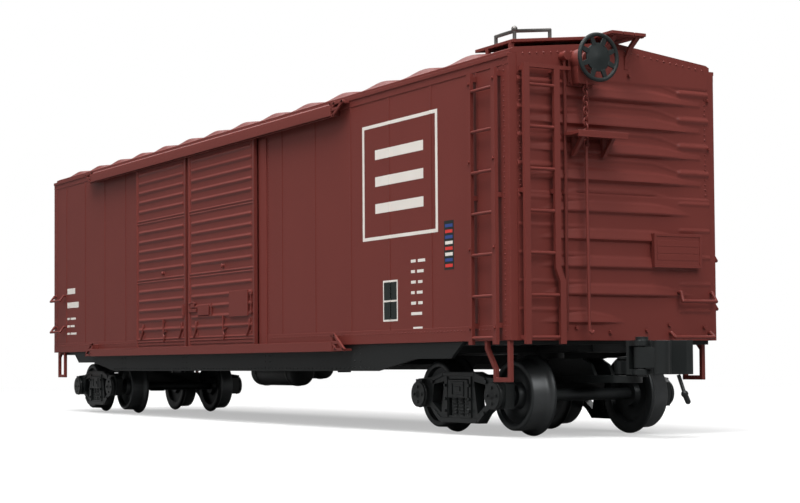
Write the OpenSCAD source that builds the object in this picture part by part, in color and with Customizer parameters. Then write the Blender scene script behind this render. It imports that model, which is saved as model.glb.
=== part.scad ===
// 1:48 model of a steel double-door railroad boxcar, in millimetres.
// +X points to the brake end, -Y is the right side, +Z is up.
// The origin is under the centre of the car, level with the bottom of the wheel flanges.

/* [Body] */
// Length of the body over its end sheets
body_l = 327; // [290:1:400]
// Width of the body over its side sheets
body_w = 61.5; // [56:0.5:76]
// Height of the side sheets, from sill to eave
side_h = 67.5; // [56:0.5:84]
// Height of the side sill above the axle centres
deck_h = 13.2; // [13.2:0.1:17]
// Thickness of the side and end sheets
wall_t = 2; // [1.5:0.1:3]
// Thickness of the floor boards
floor_t = 2; // [1.5:0.1:3]
// Thickness of the roof sheet
roof_t = 1.5; // [1:0.1:2.5]
// Rise of the roof from eave to ridge
roof_rise = 3.5; // [2:0.1:6]
// Distance between the raised panels of the roof
panel_pitch = 21.8; // [17:0.1:25]

/* [Doors] */
// Width of the main sliding door
main_door_w = 51; // [42:0.5:62]
// Width of the auxiliary sliding door
aux_door_w = 44.5; // [36:0.5:54]
// Thickness of a door
door_t = 1.6; // [1.2:0.1:2.4]
// Gap between the two closed doors
door_gap = 2; // [1:0.1:4]
// How far a closed door laps over the side sheet
door_lap = 2; // [1.5:0.1:3]
// Running clearance round a door
door_clear = 0.3; // [0.2:0.05:0.6]
// Distance from the middle of the car to the main door's inner edge
door_offset = 24; // [16:0.5:34]

/* [Roof walk] */
// Width of the running board
board_w = 10.2; // [8:0.1:14]
// Thickness of the running board
board_t = 0.8; // [0.6:0.1:1.6]
// How far the running board reaches past the end sheets
board_over = 6; // [3:0.5:10]

/* [Ladders] */
// Distance between two ladder rungs
rung_pitch = 9.9; // [8:0.1:12]
// Width of the side ladders over their stiles
ladder_w = 12.2; // [9:0.1:16]
// Diameter of rungs, grab irons and handrails
wire_d = 0.9; // [0.7:0.05:1.2]

/* [Running gear] */
// Diameter of the wheel tread
wheel_d = 17.5; // [15:0.1:20]
// Depth of the wheel flange
flange_h = 1.25; // [0.8:0.05:1.6]
// Distance between the backs of a wheel pair
back_to_back = 28.2; // [27:0.1:29]
// Width of a wheel over rim and flange
wheel_w = 6.4; // [4.5:0.1:7.5]
// Distance between the two axles of a truck
wheel_base = 35; // [33:0.5:42]
// Distance from an end of the body to the pivot of its truck
truck_inset = 32.5; // [30:0.5:45]
// Diameter of the axle between its wheels
axle_d = 3; // [2.4:0.1:4]
// Diameter of the axle's journal ends
journal_d = 2.5; // [1.8:0.1:2.8]

/* [Couplers] */
// Distance from a truck pivot to its coupler pivot
coupler_reach = 35.5; // [33:0.5:42]
// Height of a coupler head
coupler_h = 8; // [6:0.1:9]

/* [Hidden] */
$fn = 48;
e = 0.01;               // tiny excess that lets a cut run past a face
bend_swell = 1.04;      // a bend in a wire is a touch thicker than the wire

// Colours
red = "#6f3733";
black = "#222425";
steel = "#4a4c4d";
timber = "#8a7a62";

// Heights of the body
axle_z = wheel_d / 2 + flange_h;
sill_z = axle_z + deck_h;
eave_z = sill_z + side_h;
half_l = body_l / 2;
half_w = body_w / 2;
inner_w = half_w - wall_t;
roof_edge = half_w - 0.8;           // half width of the roof sheet
roof_len = body_l - 1;
roof_rib_h = 0.7;
roof_rib_w = 13;
ridge_z = eave_z + roof_t + roof_rise;

// Doors and their tracks, drawn for the right side
door_face = half_w + door_clear;              // back of a door, from the centre line
door_out = door_face + door_t;
main_x = -door_offset;                        // left edge of the main door
aux_x = main_x - door_gap - aux_door_w;       // left edge of the auxiliary door
doorway_x0 = aux_x + door_lap;
doorway_x1 = main_x + main_door_w - door_lap;
doorway_w = doorway_x1 - doorway_x0;
sill_strip = 2;                               // side sheet left under the doorway
header_h = 5.5;                               // side sheet left over the doorway
track_lip_t = 0.6;
track_out = door_out + door_clear + track_lip_t;
track_floor_z = sill_z - 1.8;                 // underside of the lower track
track_shelf_t = 1.6;
track_lip_h = 1.1;                            // height of the lower track's lip over its shelf
hood_z1 = eave_z - 0.6;                       // top of the upper track
hood_h = 4;
hood_top_t = 1;
door_z0 = track_floor_z + track_shelf_t + door_clear;
door_z1 = hood_z1 - hood_top_t - 2 * door_clear;
track_end = 1.2;                              // stop block past an open door
main_travel = main_door_w;
aux_travel = aux_door_w - door_lap;
track_x0 = aux_x - aux_travel - door_clear - track_end;
track_x1 = main_x + main_door_w + main_travel + door_clear + track_end;

// Roof walk
saddle_h = 0.8;
board_z = ridge_z + saddle_h;                 // underside of the running board
board_end = half_l + board_over;
lateral_x0 = half_l - 19.4;
lateral_l = 16.4;
lateral_y = half_w - 3;                       // outer edge of a lateral board
lateral_drop = 2.6;                           // fall from the running board to the outer edge
roof_slope = roof_rise / roof_edge;

// Ladders, steps and grab irons
stile_w = 1.6;
stile_t = 0.9;
stand_off = 1.1;                              // from a side sheet to its ladder
end_off = 1.7;                                // from an end sheet to its ladder, over the ribs
side_ladder_x = half_l - 15.6;                // outer edge of the inner stile
ladder_z0 = sill_z - 0.9;
ladder_z1 = sill_z + side_h - 3;
rung_z0 = sill_z + 0.7;
rungs = 1 + floor((ladder_z1 - rung_z0) / rung_pitch);
end_ladder_y0 = half_w - 2.4;                 // outer stile of an end ladder
end_ladder_w = 10.2;
ladder_jog = 1.3;                             // how far the inner stile steps out low down
ladder_jog_z = sill_z + 14;
step_drop = 9.8;
step_bar = 1.1;
grab_reach = 2.4;                             // from a sheet to a grab iron's bar
grab_foot = 0.9;

// Corrugated ends
end_rib_pitch = 6.65;
end_rib_first = 4.8;
end_rib_r = 2.2;
end_rib_out = 0.7;                            // how far a rib stands out of the end sheet
rib_x = half_l + end_rib_out;                 // crests of the end ribs

// Underframe
deck_t = 1;
deck_z = sill_z - deck_t;                     // underside of the deck plate
sill_t = 1;
deck_y = half_w - 0.35 - sill_t;              // half width of the deck between the side sills
belly_h = 7.2;
belly_end_h = 4.1;
centre_sill_y = 4.5;
truck_x = half_l - truck_inset;
bolster_beam = 4.5;                           // half width of a body bolster
plate_z = sill_z - 4.3;                       // underside of the body centre plate
plate_r = 6;
king_r = 1.5;
pad_x = half_l - 9.5;                         // centre of a coupler mounting pad
pad_hole_r = 0.9;
pad_spacing = 12;
pad_t = 1.6;

// Truck
frame_in = back_to_back / 2 + wheel_w + 2;    // inner face of a sideframe
frame_t = 2.5;
lid_out = frame_in + 4.2;                     // face of a journal lid
journal_r = journal_d / 2;
journal_bore = journal_r + 0.05;
journal_depth = 3.2;
journal_box_r = 3.3;
axle_r = axle_d / 2;
bolster_half = 5;
bolster_z0 = axle_z - 0.7;
bolster_z1 = axle_z + 3.8;
bolster_mid_z1 = axle_z + 5;
truck_plate_z = plate_z - 0.3;
frame_top = axle_z + 5.8;
frame_foot = axle_z - 7;
window_half = 4.8;
window_z0 = axle_z - 5.2;

// Coupler
arm_z0 = axle_z + 3;
arm_t = 1.8;
arm_half = 4;
shank_z0 = arm_z0 + arm_t + 0.3;
shank_t = 3.2;
coupler_z0 = axle_z + 5;
pivot_r = 1.2;
head_x = 7;                                   // back of the head, from the coupler pivot
knuckle_x = 13;                               // knuckle pin, from the coupler pivot
knuckle_y = -5.2;
knuckle_pin_r = 0.9;
lug_t = 1.3;
lug_r = 2.1;
knuckle_clear = 0.3;

// A straight round bar from a to b
module bar(a, b, d) {
    v = b - a;
    l = norm(v);
    translate(a)
        rotate([0, acos(v[2] / l), atan2(v[1], v[0])])
            cylinder(h = l, d = d, $fn = 24);
}

// A bent wire through a list of points, with round corners
module wire(points, d) {
    for (i = [0 : len(points) - 2])
        bar(points[i], points[i + 1], d);
    for (i = [1 : len(points) - 2])
        translate(points[i])
            sphere(d = d * bend_swell, $fn = 24);
}

// A block given by its lowest and highest corners
module block(a, b) {
    translate(a)
        cube(b - a);
}

// Turns a piece of the right side or the brake end round to the opposite one
module opposite() {
    rotate([0, 0, 180])
        children();
}

// Draws a profile given in Y and Z, from x0 over a length along X
module along_x(x0, l) {
    translate([x0, 0, 0])
        rotate([90, 0, 90])
            linear_extrude(height = l)
                children();
}

// Draws a profile given in X and Z, from y0 over a length along Y
module along_y(y0, l) {
    translate([0, y0 + l, 0])
        rotate([90, 0, 0])
            linear_extrude(height = l)
                children();
}

// ---- body ----

module side_sheet() {
    difference() {
        block([-half_l, -half_w, sill_z], [half_l, -inner_w, eave_z]);
        block([doorway_x0, -half_w - 1, sill_z + sill_strip],
              [doorway_x1, -inner_w + 1, eave_z - header_h]);
    }
}

module right_side() { color(red) side_sheet(); }
module left_side() { color(red) opposite() side_sheet(); }

// Height above the sill of each corrugation, from the bottom up
end_rib_rows = floor((side_h - 2 * end_rib_first) / end_rib_pitch);

module end_sheet() {
    along_x(half_l - wall_t, wall_t)
        polygon([[-inner_w, sill_z], [inner_w, sill_z], [inner_w, eave_z],
                 [0, eave_z + roof_rise], [-inner_w, eave_z]]);
    for (i = [0 : end_rib_rows])
        translate([half_l + end_rib_out - end_rib_r, 0,
                   sill_z + end_rib_first + i * end_rib_pitch + (i > 4 ? 0.8 : 0)])
            rotate([90, 0, 0])
                intersection() {
                    cylinder(r = end_rib_r, h = 2 * inner_w - 6, center = true);
                    translate([end_rib_r - end_rib_out - wall_t / 2, -end_rib_r, -half_w])
                        cube([2 * end_rib_r, 2 * end_rib_r, body_w]);
                }
}

module brake_end() { color(red) end_sheet(); }
module plain_end() { color(red) opposite() end_sheet(); }

// Roof sheet: flat seats on the side sheets, then two slopes up to the ridge
module roof_profile(lift) {
    polygon([[-roof_edge, eave_z], [-inner_w, eave_z], [0, eave_z + roof_rise],
             [inner_w, eave_z], [roof_edge, eave_z],
             [roof_edge, eave_z + roof_t + lift], [0, ridge_z + lift],
             [-roof_edge, eave_z + roof_t + lift]]);
}

roof_ribs = floor((half_l - 8) / panel_pitch);

module roof() {
    color(red) {
        along_x(-roof_len / 2, roof_len)
            roof_profile(0);
        for (i = [-roof_ribs : roof_ribs - 1])
            along_x((i + 0.5) * panel_pitch - roof_rib_w / 2, roof_rib_w)
                roof_profile(roof_rib_h);
    }
}

module floor_boards() {
    color(timber)
        block([-half_l + wall_t, -inner_w, sill_z], [half_l - wall_t, inner_w, sill_z + floor_t]);
}

// ---- doors ----

module door(x0, w) {
    block([x0, -door_out, door_z0], [x0 + w, -door_face, door_z1]);
}

module right_main_door() { color(red) door(main_x, main_door_w); }
module right_aux_door() { color(red) door(aux_x, aux_door_w); }
module left_main_door() { color(red) opposite() door(main_x, main_door_w); }
module left_aux_door() { color(red) opposite() door(aux_x, aux_door_w); }

// Lower shelf that the doors slide on and upper hood that guides their top edges
module door_tracks() {
    lip_y0 = -track_out;
    lip_y1 = -track_out + track_lip_t;
    shelf_z1 = track_floor_z + track_shelf_t;
    block([track_x0, lip_y0, track_floor_z], [track_x1, -half_w, shelf_z1]);
    block([track_x0, lip_y0, shelf_z1 - e], [track_x1, lip_y1, shelf_z1 + track_lip_h]);
    block([track_x0, lip_y0, hood_z1 - hood_top_t], [track_x1, -half_w, hood_z1]);
    block([track_x0, lip_y0, hood_z1 - hood_h], [track_x1, lip_y1, hood_z1 - hood_top_t + e]);
    for (x = [track_x0, track_x1 - track_end]) {
        block([x, lip_y0, shelf_z1 - e], [x + track_end, -half_w, shelf_z1 + track_lip_h]);
        block([x, lip_y0, hood_z1 - hood_h], [x + track_end, -half_w, hood_z1 - hood_top_t + e]);
    }
}

module right_door_tracks() { color(red) door_tracks(); }
module left_door_tracks() { color(red) opposite() door_tracks(); }

// ---- roof walk ----

saddle_half = board_w / 2 - 1.2;

// Bracket that carries the overhanging end of the running board
module board_bracket() {
    foot = half_l;
    tip = board_end - 1.5;
    along_y(-1.1, 2.2)
        polygon([[foot, board_z - 7.2], [foot + 0.9, board_z - 7.2], [foot + 1.2, board_z - 4.6],
                 [tip, board_z - 1.2], [tip, board_z + e], [foot + 2, board_z + e],
                 [foot + 2, board_z - 1.8], [foot, board_z - 3.4]]);
}

module running_board() {
    color(red) {
        block([-board_end, -board_w / 2, board_z], [board_end, board_w / 2, board_z + board_t]);
        for (i = [-roof_ribs : roof_ribs])
            along_x(i * panel_pitch - 0.8, 1.6)
                polygon([[-saddle_half, ridge_z - saddle_half * roof_slope], [0, ridge_z],
                         [saddle_half, ridge_z - saddle_half * roof_slope],
                         [saddle_half, board_z + e], [-saddle_half, board_z + e]]);
        board_bracket();
        opposite() board_bracket();
    }
}

// Top of a lateral board at a distance y from the centre line
function lateral_top(y) =
    board_z + board_t - lateral_drop * (y - board_w / 2) / (lateral_y - board_w / 2);
function roof_top(y) = ridge_z - y * roof_slope;

module lateral_board() {
    inner = board_w / 2;
    along_x(lateral_x0, lateral_l)
        polygon([[-lateral_y, lateral_top(lateral_y)], [-inner, lateral_top(inner)],
                 [-inner, lateral_top(inner) - board_t],
                 [-lateral_y, lateral_top(lateral_y) - board_t]]);
    // legs down to the roof sheet at the outer edge
    for (x = [lateral_x0 + 4.6, lateral_x0 + lateral_l - 1.8])
        along_x(x, 1.2)
            polygon([[-lateral_y, roof_top(lateral_y)], [-lateral_y + 1, roof_top(lateral_y - 1)],
                     [-lateral_y + 1, lateral_top(lateral_y) - board_t / 2],
                     [-lateral_y, lateral_top(lateral_y) - board_t / 2]]);
}

module lateral_boards() {
    color(red) {
        lateral_board();
        opposite() lateral_board();
    }
}

// Bent handrail on the outer corner of a lateral board, with an eye at the corner
module corner_handrail() {
    rail = 1.9;                       // height over the board
    seat = 0.06;                      // the posts stand just on the sloping board
    y1 = lateral_y - 1.2;
    y2 = lateral_y - 11.4;
    x1 = lateral_x0 + 7.6;
    x2 = lateral_x0 + lateral_l - 0.8;
    z1 = lateral_top(y1) + seat;
    z2 = lateral_top(y2) + seat;
    wire([[x1, -y1, z1], [x1, -y1, z1 + rail], [x2, -y1, z1 + rail],
          [x2, -y2, z2 + rail], [x2, -y2, z2]], wire_d);
    bar([x2, -y1, z1], [x2, -y1, z1 + rail + 0.6], wire_d);
    translate([x2, -y1, z1 + rail + 0.5])
        sphere(r = 0.75, $fn = 24);
}

module corner_handrails() {
    color(steel) {
        corner_handrail();
        opposite() corner_handrail();
    }
}

// ---- ladders, grab irons and steps ----

module side_ladder() {
    y0 = -half_w - stand_off - stile_t;
    x1 = side_ladder_x + ladder_w;
    for (x = [side_ladder_x, x1 - stile_w]) {
        block([x, y0, ladder_z0], [x + stile_w, y0 + stile_t, ladder_z1]);
        for (z = [sill_z + 3, sill_z + 0.5 * side_h, ladder_z1 - 2])
            block([x, y0 + stile_t - e, z], [x + stile_w, -half_w, z + 1.2]);
    }
    for (i = [0 : rungs - 1])
        bar([side_ladder_x + stile_w / 2, y0 + stile_t / 2, rung_z0 + i * rung_pitch],
            [x1 - stile_w / 2, y0 + stile_t / 2, rung_z0 + i * rung_pitch], wire_d - 0.1);
}

module side_ladders() {
    color(red) {
        side_ladder();
        opposite() side_ladder();
    }
}

module end_ladder() {
    x0 = half_l + end_off;
    inner_y = end_ladder_y0 - end_ladder_w;
    // outer stile
    block([x0, -end_ladder_y0, ladder_z0], [x0 + stile_t, -end_ladder_y0 + stile_w, ladder_z1]);
    // inner stile, which steps outwards near its foot
    along_x(x0, stile_t)
        polygon([[-inner_y, ladder_z1], [-inner_y - stile_w, ladder_z1],
                 [-inner_y - stile_w, ladder_jog_z + 3],
                 [-inner_y - stile_w + ladder_jog, ladder_jog_z],
                 [-inner_y - stile_w + ladder_jog, ladder_z0],
                 [-inner_y + ladder_jog, ladder_z0],
                 [-inner_y + ladder_jog, ladder_jog_z], [-inner_y, ladder_jog_z + 3]]);
    // top bar, which reaches past the inner stile
    block([x0, -end_ladder_y0, ladder_z1 - 0.4],
          [x0 + stile_t, -inner_y + 3.3, ladder_z1 + 0.5]);
    for (y = [-end_ladder_y0, -inner_y - stile_w])
        for (z = [sill_z + 35.2, ladder_z1 - 0.6])
            block([half_l, y, z - 0.5], [x0 + e, y + stile_w, z + 0.5]);
    for (y = [-end_ladder_y0, -inner_y - stile_w + ladder_jog])
        block([half_l, y, sill_z + 0.2], [x0 + e, y + stile_w, sill_z + 1.2]);
    for (i = [0 : rungs - 1])
        bar([x0 + stile_t / 2, -end_ladder_y0 + stile_w / 2, rung_z0 + i * rung_pitch],
            [x0 + stile_t / 2, -inner_y - stile_w / 2 + 0.3, rung_z0 + i * rung_pitch],
            wire_d - 0.1);
}

module end_ladders() {
    color(red) {
        end_ladder();
        opposite() end_ladder();
    }
}

// A round bar held off a sheet by two feet, each square to the sheet before it bends
module grab_iron(foot_a, foot_b, bar_a, bar_b, out) {
    wire([foot_a, foot_a + out, bar_a, bar_b, foot_b + out, foot_b], wire_d);
}

module grab_iron_set() {
    x2 = half_l + grab_reach;
    y2 = half_w + grab_reach;
    z1 = sill_z + end_rib_first + end_rib_pitch + 0.4;    // over a rib's crest
    // on the end, at the corner without a ladder: one that hangs from its feet, one low down
    grab_iron([rib_x, 18.4, z1], [half_l, half_w - 1.9, z1],
              [x2, 18.4, z1 - 2.2], [x2, half_w - 1.9, z1 - 2.2], [grab_foot, 0, 0]);
    grab_iron([half_l, 15.8, sill_z + 1.9], [half_l, half_w - 2.6, sill_z + 1.9],
              [x2, 15.8, sill_z + 0.8], [x2, half_w - 2.6, sill_z + 0.8], [grab_foot, 0, 0]);
    // two on the side sheet round the same corner
    for (z = [sill_z + 8, sill_z + 20.2])
        grab_iron([half_l - 13.5, half_w, z + 2], [half_l - 2.5, half_w, z + 2],
                  [half_l - 13.5, y2, z], [half_l - 2.5, y2, z], [0, grab_foot, 0]);
}

module grab_irons() {
    color(red) {
        grab_iron_set();
        opposite() grab_iron_set();
    }
}

// Bent stirrup under the side ladder, and a plain one at the other corner of the same end
module step_pair() {
    z1 = sill_z;
    z0 = sill_z - step_drop;
    along_y(-half_w + e, step_bar)
        polygon([[half_l - 11.6, z1], [half_l - 10.5, z1], [half_l - 10.5, z1 - 1.8],
                 [half_l - 6.9, z0 + 3.2], [half_l - 6.9, z0 + step_bar],
                 [half_l - 1.9, z0 + step_bar], [half_l - 1.9, z1], [half_l - 0.8, z1],
                 [half_l - 0.8, z0], [half_l - 8, z0], [half_l - 8, z0 + 3],
                 [half_l - 11.6, z1 - 2]]);
    along_y(half_w - step_bar - e, step_bar)
        polygon([[half_l - 12, z0], [half_l - 4.3, z0], [half_l - 4.3, z1], [half_l - 7.6, z1],
                 [half_l - 5.4, z1 - 2.2], [half_l - 5.4, z0 + step_bar],
                 [half_l - 10.9, z0 + step_bar], [half_l - 10.9, z1], [half_l - 12, z1]]);
}

module sill_steps() {
    color(red) {
        step_pair();
        opposite() step_pair();
    }
}

// ---- brake end fittings ----

brake_y = -10.9;
wheel_plane = half_l + 8.2;
brake_z = eave_z - 0.8;
brake_r = 5.9;
housing_x = half_l + 4.6;
housing_drop = 6;                             // housing below the wheel centre

module brake_wheel() {
    color(steel)
        translate([wheel_plane, brake_y, brake_z])
            rotate([0, 90, 0]) {
                rotate_extrude()
                    translate([brake_r - 0.45, 0])
                        circle(r = 0.45, $fn = 24);
                translate([0, 0, -0.5])
                    cylinder(r = 3.1, h = 1);
                translate([0, 0, -wheel_plane + housing_x])
                    cylinder(r = 0.8, h = wheel_plane - housing_x);
                for (i = [0 : 6])
                    rotate([0, 0, 90 + i * 360 / 7])
                        translate([2.6, -0.35, -0.3])
                            cube([brake_r - 3.1, 0.7, 0.6]);
            }
}

module brake_housing() {
    color(red) {
        block([half_l, brake_y - 3.6, brake_z - housing_drop], [half_l + 0.9, brake_y + 3.6, brake_z + 2.4]);
        translate([half_l + 0.8, brake_y, brake_z])
            rotate([0, 90, 0])
                cylinder(r = 2.9, h = housing_x - half_l - 0.8);
        block([half_l + 0.8, brake_y - 2.2, brake_z - housing_drop],
              [housing_x - 0.8, brake_y + 2.2, brake_z]);
    }
}

platform_z = sill_z + 49.3;
platform_x1 = half_l + 7.4;
rod_x = half_l + 3;
slot_r = 1.3;
platform_y0 = brake_y - 5.4;
platform_w = 14.6;
pipe_x = half_l + 1.2;                        // retainer pipe
pipe_y = brake_y - 4.8;

// Chain from the housing, down through the platform to a rod that runs to the bell crank
module brake_rigging() {
    color(red) {
        bar([rod_x, brake_y + 0.4, sill_z + 2], [rod_x, brake_y, platform_z - 3.6], 0.8);
        bar([rod_x, brake_y, platform_z - 4], [rod_x, brake_y, brake_z - housing_drop], 1.3);
    }
}

module brake_platform() {
    color(red) {
        difference() {
            block([half_l, platform_y0, platform_z - 0.8],
                  [platform_x1, platform_y0 + platform_w, platform_z]);
            translate([rod_x, brake_y, platform_z - 2])
                cylinder(r = slot_r, h = 4);
            translate([pipe_x, pipe_y, platform_z - 2])
                cylinder(r = 0.8, h = 4);
        }
        for (y = [platform_y0 + 2.4, platform_y0 + platform_w - 3.3])
            along_y(y, 0.9)
                polygon([[rib_x, platform_z - 5.4], [rib_x + 0.9, platform_z - 5.4],
                         [platform_x1 - 1.4, platform_z - 0.8 + e],
                         [platform_x1 - 2.8, platform_z - 0.8 + e],
                         [rib_x + 0.9, platform_z - 4], [rib_x + 0.9, platform_z - 0.8 + e],
                         [rib_x, platform_z - 0.8 + e]]);
    }
}

module retainer_valve() {
    color(red) {
        translate([half_l, pipe_y, eave_z + 0.2])
            rotate([0, 90, 0])
                cylinder(r = 1.1, h = 2.6);
        bar([pipe_x, pipe_y, sill_z + 2.5], [pipe_x, pipe_y, eave_z], 0.8);
        for (z = [sill_z + 35.2, sill_z + 2.6])
            block([half_l, pipe_y - 0.5, z - 0.5], [pipe_x + 0.2, pipe_y + 0.5, z + 0.5]);
    }
}

module placard_board() {
    block([half_l + end_rib_out, 10, sill_z + 17.8], [half_l + 1.9, 24.8, sill_z + 26.2]);
    for (y = [11.5, 22])
        block([half_l, y, sill_z + 21], [half_l + end_rib_out + e, y + 1.3, sill_z + 22.4]);
}

module placard_boards() {
    color(red) {
        placard_board();
        opposite() placard_board();
    }
}

// ---- underframe ----

module side_sill() {
    along_y(-deck_y - sill_t, sill_t)
        polygon([[-half_l + 21.5, sill_z], [half_l - 21.5, sill_z],
                 [half_l - 27.5, sill_z - belly_end_h], [half_l - 44.5, sill_z - belly_end_h],
                 [half_l - 65, sill_z - belly_h], [-half_l + 65, sill_z - belly_h],
                 [-half_l + 44.5, sill_z - belly_end_h], [-half_l + 27.5, sill_z - belly_end_h]]);
}

module right_sill() { color(black) side_sill(); }
module left_sill() { color(black) opposite() side_sill(); }

centre_sill_x = truck_x - 40;                 // where the deep centre sill stops for the trucks
pipe_line_y = 19;
pipe_line_z = deck_z - 2;
pipe_line_d = 1.6;

module underframe() {
    color(black)
        difference() {
            union() {
                block([-half_l + 1.5, -deck_y, deck_z], [half_l - 1.5, deck_y, sill_z]);
                // centre sill, deep between the trucks and shallow over them
                along_y(-centre_sill_y, 2 * centre_sill_y)
                    polygon([[-centre_sill_x, sill_z - 7], [centre_sill_x, sill_z - 7],
                             [centre_sill_x + 5, sill_z - 3.2], [half_l - 4, sill_z - 2.6],
                             [half_l - 4, deck_z + e], [-half_l + 4, deck_z + e],
                             [-half_l + 4, sill_z - 2.6], [-centre_sill_x - 5, sill_z - 3.2]]);
                // cross-bearers
                for (x = [-centre_sill_x + 3, -centre_sill_x * 0.36, centre_sill_x * 0.36,
                          centre_sill_x - 3])
                    block([x - 1, -deck_y, sill_z - 5.5], [x + 1, deck_y, deck_z + e]);
                for (s = [-1, 1]) {
                    // body bolster, centre plate and king pin
                    block([s * truck_x - bolster_beam, -deck_y + 1, sill_z - 2.7],
                          [s * truck_x + bolster_beam, deck_y - 1, deck_z + e]);
                    translate([s * truck_x, 0, plate_z])
                        cylinder(r = plate_r, h = deck_z - plate_z + e);
                    translate([s * truck_x, 0, bolster_z0 - 0.3 - e])
                        cylinder(r = king_r, h = deck_z - bolster_z0);
                    translate([s * truck_x, 0, bolster_z0 - 1.3])
                        cylinder(r = 2.8, h = 1);
                    // coupler mounting pad
                    block([s * pad_x - 5, -8.5, deck_z - pad_t], [s * pad_x + 5, 8.5, deck_z + e]);
                }
            }
            for (s = [-1, 1])
                for (t = [-1, 1])
                    translate([s * pad_x, t * pad_spacing / 2, deck_z - pad_t - 1])
                        cylinder(r = pad_hole_r, h = pad_t + 1 + deck_t - 0.2, $fn = 32);
            // holes for the train pipe through the cross-bearers
            bar([-centre_sill_x, pipe_line_y, pipe_line_z], [centre_sill_x, pipe_line_y, pipe_line_z],
                pipe_line_d + 0.2);
        }
}

// A tank lying along X, with a domed look from smaller end discs
module tank(x0, x1, y, z, r) {
    translate([x0, y, z])
        rotate([0, 90, 0]) {
            cylinder(r = r, h = x1 - x0);
            translate([0, 0, -0.8])
                cylinder(r = r - 1, h = x1 - x0 + 1.6);
        }
}

module air_reservoir() {
    color(black) {
        tank(-8, 20, -13, deck_z - 6.6, 4.4);
        for (x = [-4, 14])
            block([x, -14.5, deck_z - 3], [x + 1.6, -11.5, deck_z]);
    }
}

module brake_cylinder() {
    color(black) {
        tank(-28, -13, 12, deck_z - 5.4, 3.8);
        bar([-31.4, 12, deck_z - 5.4], [-28, 12, deck_z - 5.4], 1.4);
        block([-23, 10.5, deck_z - 2.2], [-18, 13.5, deck_z]);
    }
}

module control_valve() {
    color(black) {
        block([-6, 11, deck_z - 5], [1, 17, deck_z]);
        translate([-2.5, 14, deck_z - 7])
            cylinder(r = 2.2, h = 2.5);
    }
}

module train_pipe() {
    half = centre_sill_x + 1;
    color(black) {
        bar([-half, pipe_line_y, pipe_line_z], [half, pipe_line_y, pipe_line_z], pipe_line_d);
        for (x = [-centre_sill_x + 8, -1, centre_sill_x - 10])
            block([x, pipe_line_y - 0.9, pipe_line_z], [x + 2, pipe_line_y + 0.9, deck_z]);
    }
}

// ---- trucks, drawn round a pivot at x = 0 with the coupler towards +X ----

module truck_bolster() {
    difference() {
        union() {
            block([-bolster_half, -frame_in + 0.5, bolster_z0],
                  [bolster_half, frame_in - 0.5, bolster_mid_z1]);
            for (s = [-1, 1])
                block([-window_half + 0.2, s > 0 ? frame_in - 0.6 : -frame_in - frame_t - 0.4,
                       bolster_z0],
                      [window_half - 0.2, s > 0 ? frame_in + frame_t + 0.4 : -frame_in + 0.6,
                       bolster_z1]);
            translate([0, 0, bolster_mid_z1 - e])
                cylinder(r = plate_r, h = truck_plate_z - bolster_mid_z1 + e);
        }
        translate([0, 0, bolster_z0 - 1])
            cylinder(r = king_r + 0.08, h = 20);
    }
}

// Cast sideframe with its window, springs and journal boxes, on the -Y side
module sideframe() {
    wb = wheel_base / 2;
    outline = [[-9, frame_foot], [9, frame_foot], [wb - 6, axle_z - 4.6], [wb - 3.4, axle_z - 3.2],
               [wb + 3.6, axle_z - 3.2], [wb + 3.9, axle_z + 2.8], [wb + 2.4, axle_z + 4],
               [wb - 5, axle_z + 4.4], [7.4, frame_top], [-7.4, frame_top],
               [-wb + 5, axle_z + 4.4], [-wb - 2.4, axle_z + 4], [-wb - 3.9, axle_z + 2.8],
               [-wb - 3.6, axle_z - 3.2], [-wb + 3.4, axle_z - 3.2], [-wb + 6, axle_z - 4.6]];
    difference() {
        union() {
            along_y(-frame_in - frame_t, frame_t)
                polygon(outline);
            for (x = [-wb, wb])
                translate([x, -frame_in, axle_z])
                    rotate([90, 0, 0])
                        cylinder(r = journal_box_r, h = lid_out - frame_in);
        }
        // bolster window
        block([-window_half, -frame_in - frame_t - 1, window_z0],
              [window_half, -frame_in + 1, bolster_z1 + 0.2]);
        // openings beside the columns
        for (s = [-1, 1])
            along_y(-frame_in - frame_t - 1, frame_t + 2)
                polygon([[s * 7, axle_z + 3.4], [s * (wb - 5.4), axle_z + 2.6],
                         [s * (wb - 4.6), axle_z - 2], [s * 8.6, axle_z - 4.6]]);
        for (x = [-wb, wb])
            translate([x, -frame_in - journal_depth, axle_z])
                rotate([-90, 0, 0])
                    cylinder(r = journal_bore, h = journal_depth + 1);
    }
    // three springs under the bolster
    for (x = [-3, 0, 3])
        translate([x, -frame_in - frame_t / 2, window_z0 - e])
            cylinder(r = 1.2, h = bolster_z0 - window_z0 + e);
}

// Flat arm that carries the coupler, with its pivot pin
module coupler_arm() {
    block([bolster_half, -arm_half, arm_z0], [coupler_reach, arm_half, arm_z0 + arm_t]);
    translate([coupler_reach, 0, arm_z0])
        cylinder(r = arm_half, h = arm_t);
    translate([coupler_reach, 0, arm_z0 + arm_t - e])
        cylinder(r = pivot_r, h = shank_t + 0.9);
    translate([coupler_reach, 0, shank_z0 + shank_t + 0.3])
        cylinder(r = 2, h = 0.7);
}

// Wheel profile: r outwards, from the flange back at 0 to the rim face at wheel_w
module wheel_profile() {
    tread = wheel_d / 2;
    bore = axle_r;
    polygon([[bore, 0.3], [3, 0.3], [3.2, 1.6], [tread - 1.8, 1.6], [tread - 1.4, 0.2],
             [tread + flange_h - 0.7, 0], [tread + flange_h, 0.5], [tread + flange_h - 0.1, 1],
             [tread + 0.3, 1.6], [tread, 2.2], [tread - 0.15, wheel_w - 0.3],
             [tread - 0.4, wheel_w], [tread - 1.3, wheel_w], [tread - 1.7, wheel_w - 1.4],
             [3.4, wheel_w - 2], [3, wheel_w - 0.3], [2.7, wheel_w], [bore, wheel_w]]);
}

module wheel_pair() {
    for (s = [-1, 1])
        rotate([90 * s, 0, 0])
            translate([0, 0, back_to_back / 2])
                rotate_extrude($fn = 96)
                    wheel_profile();
}

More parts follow.
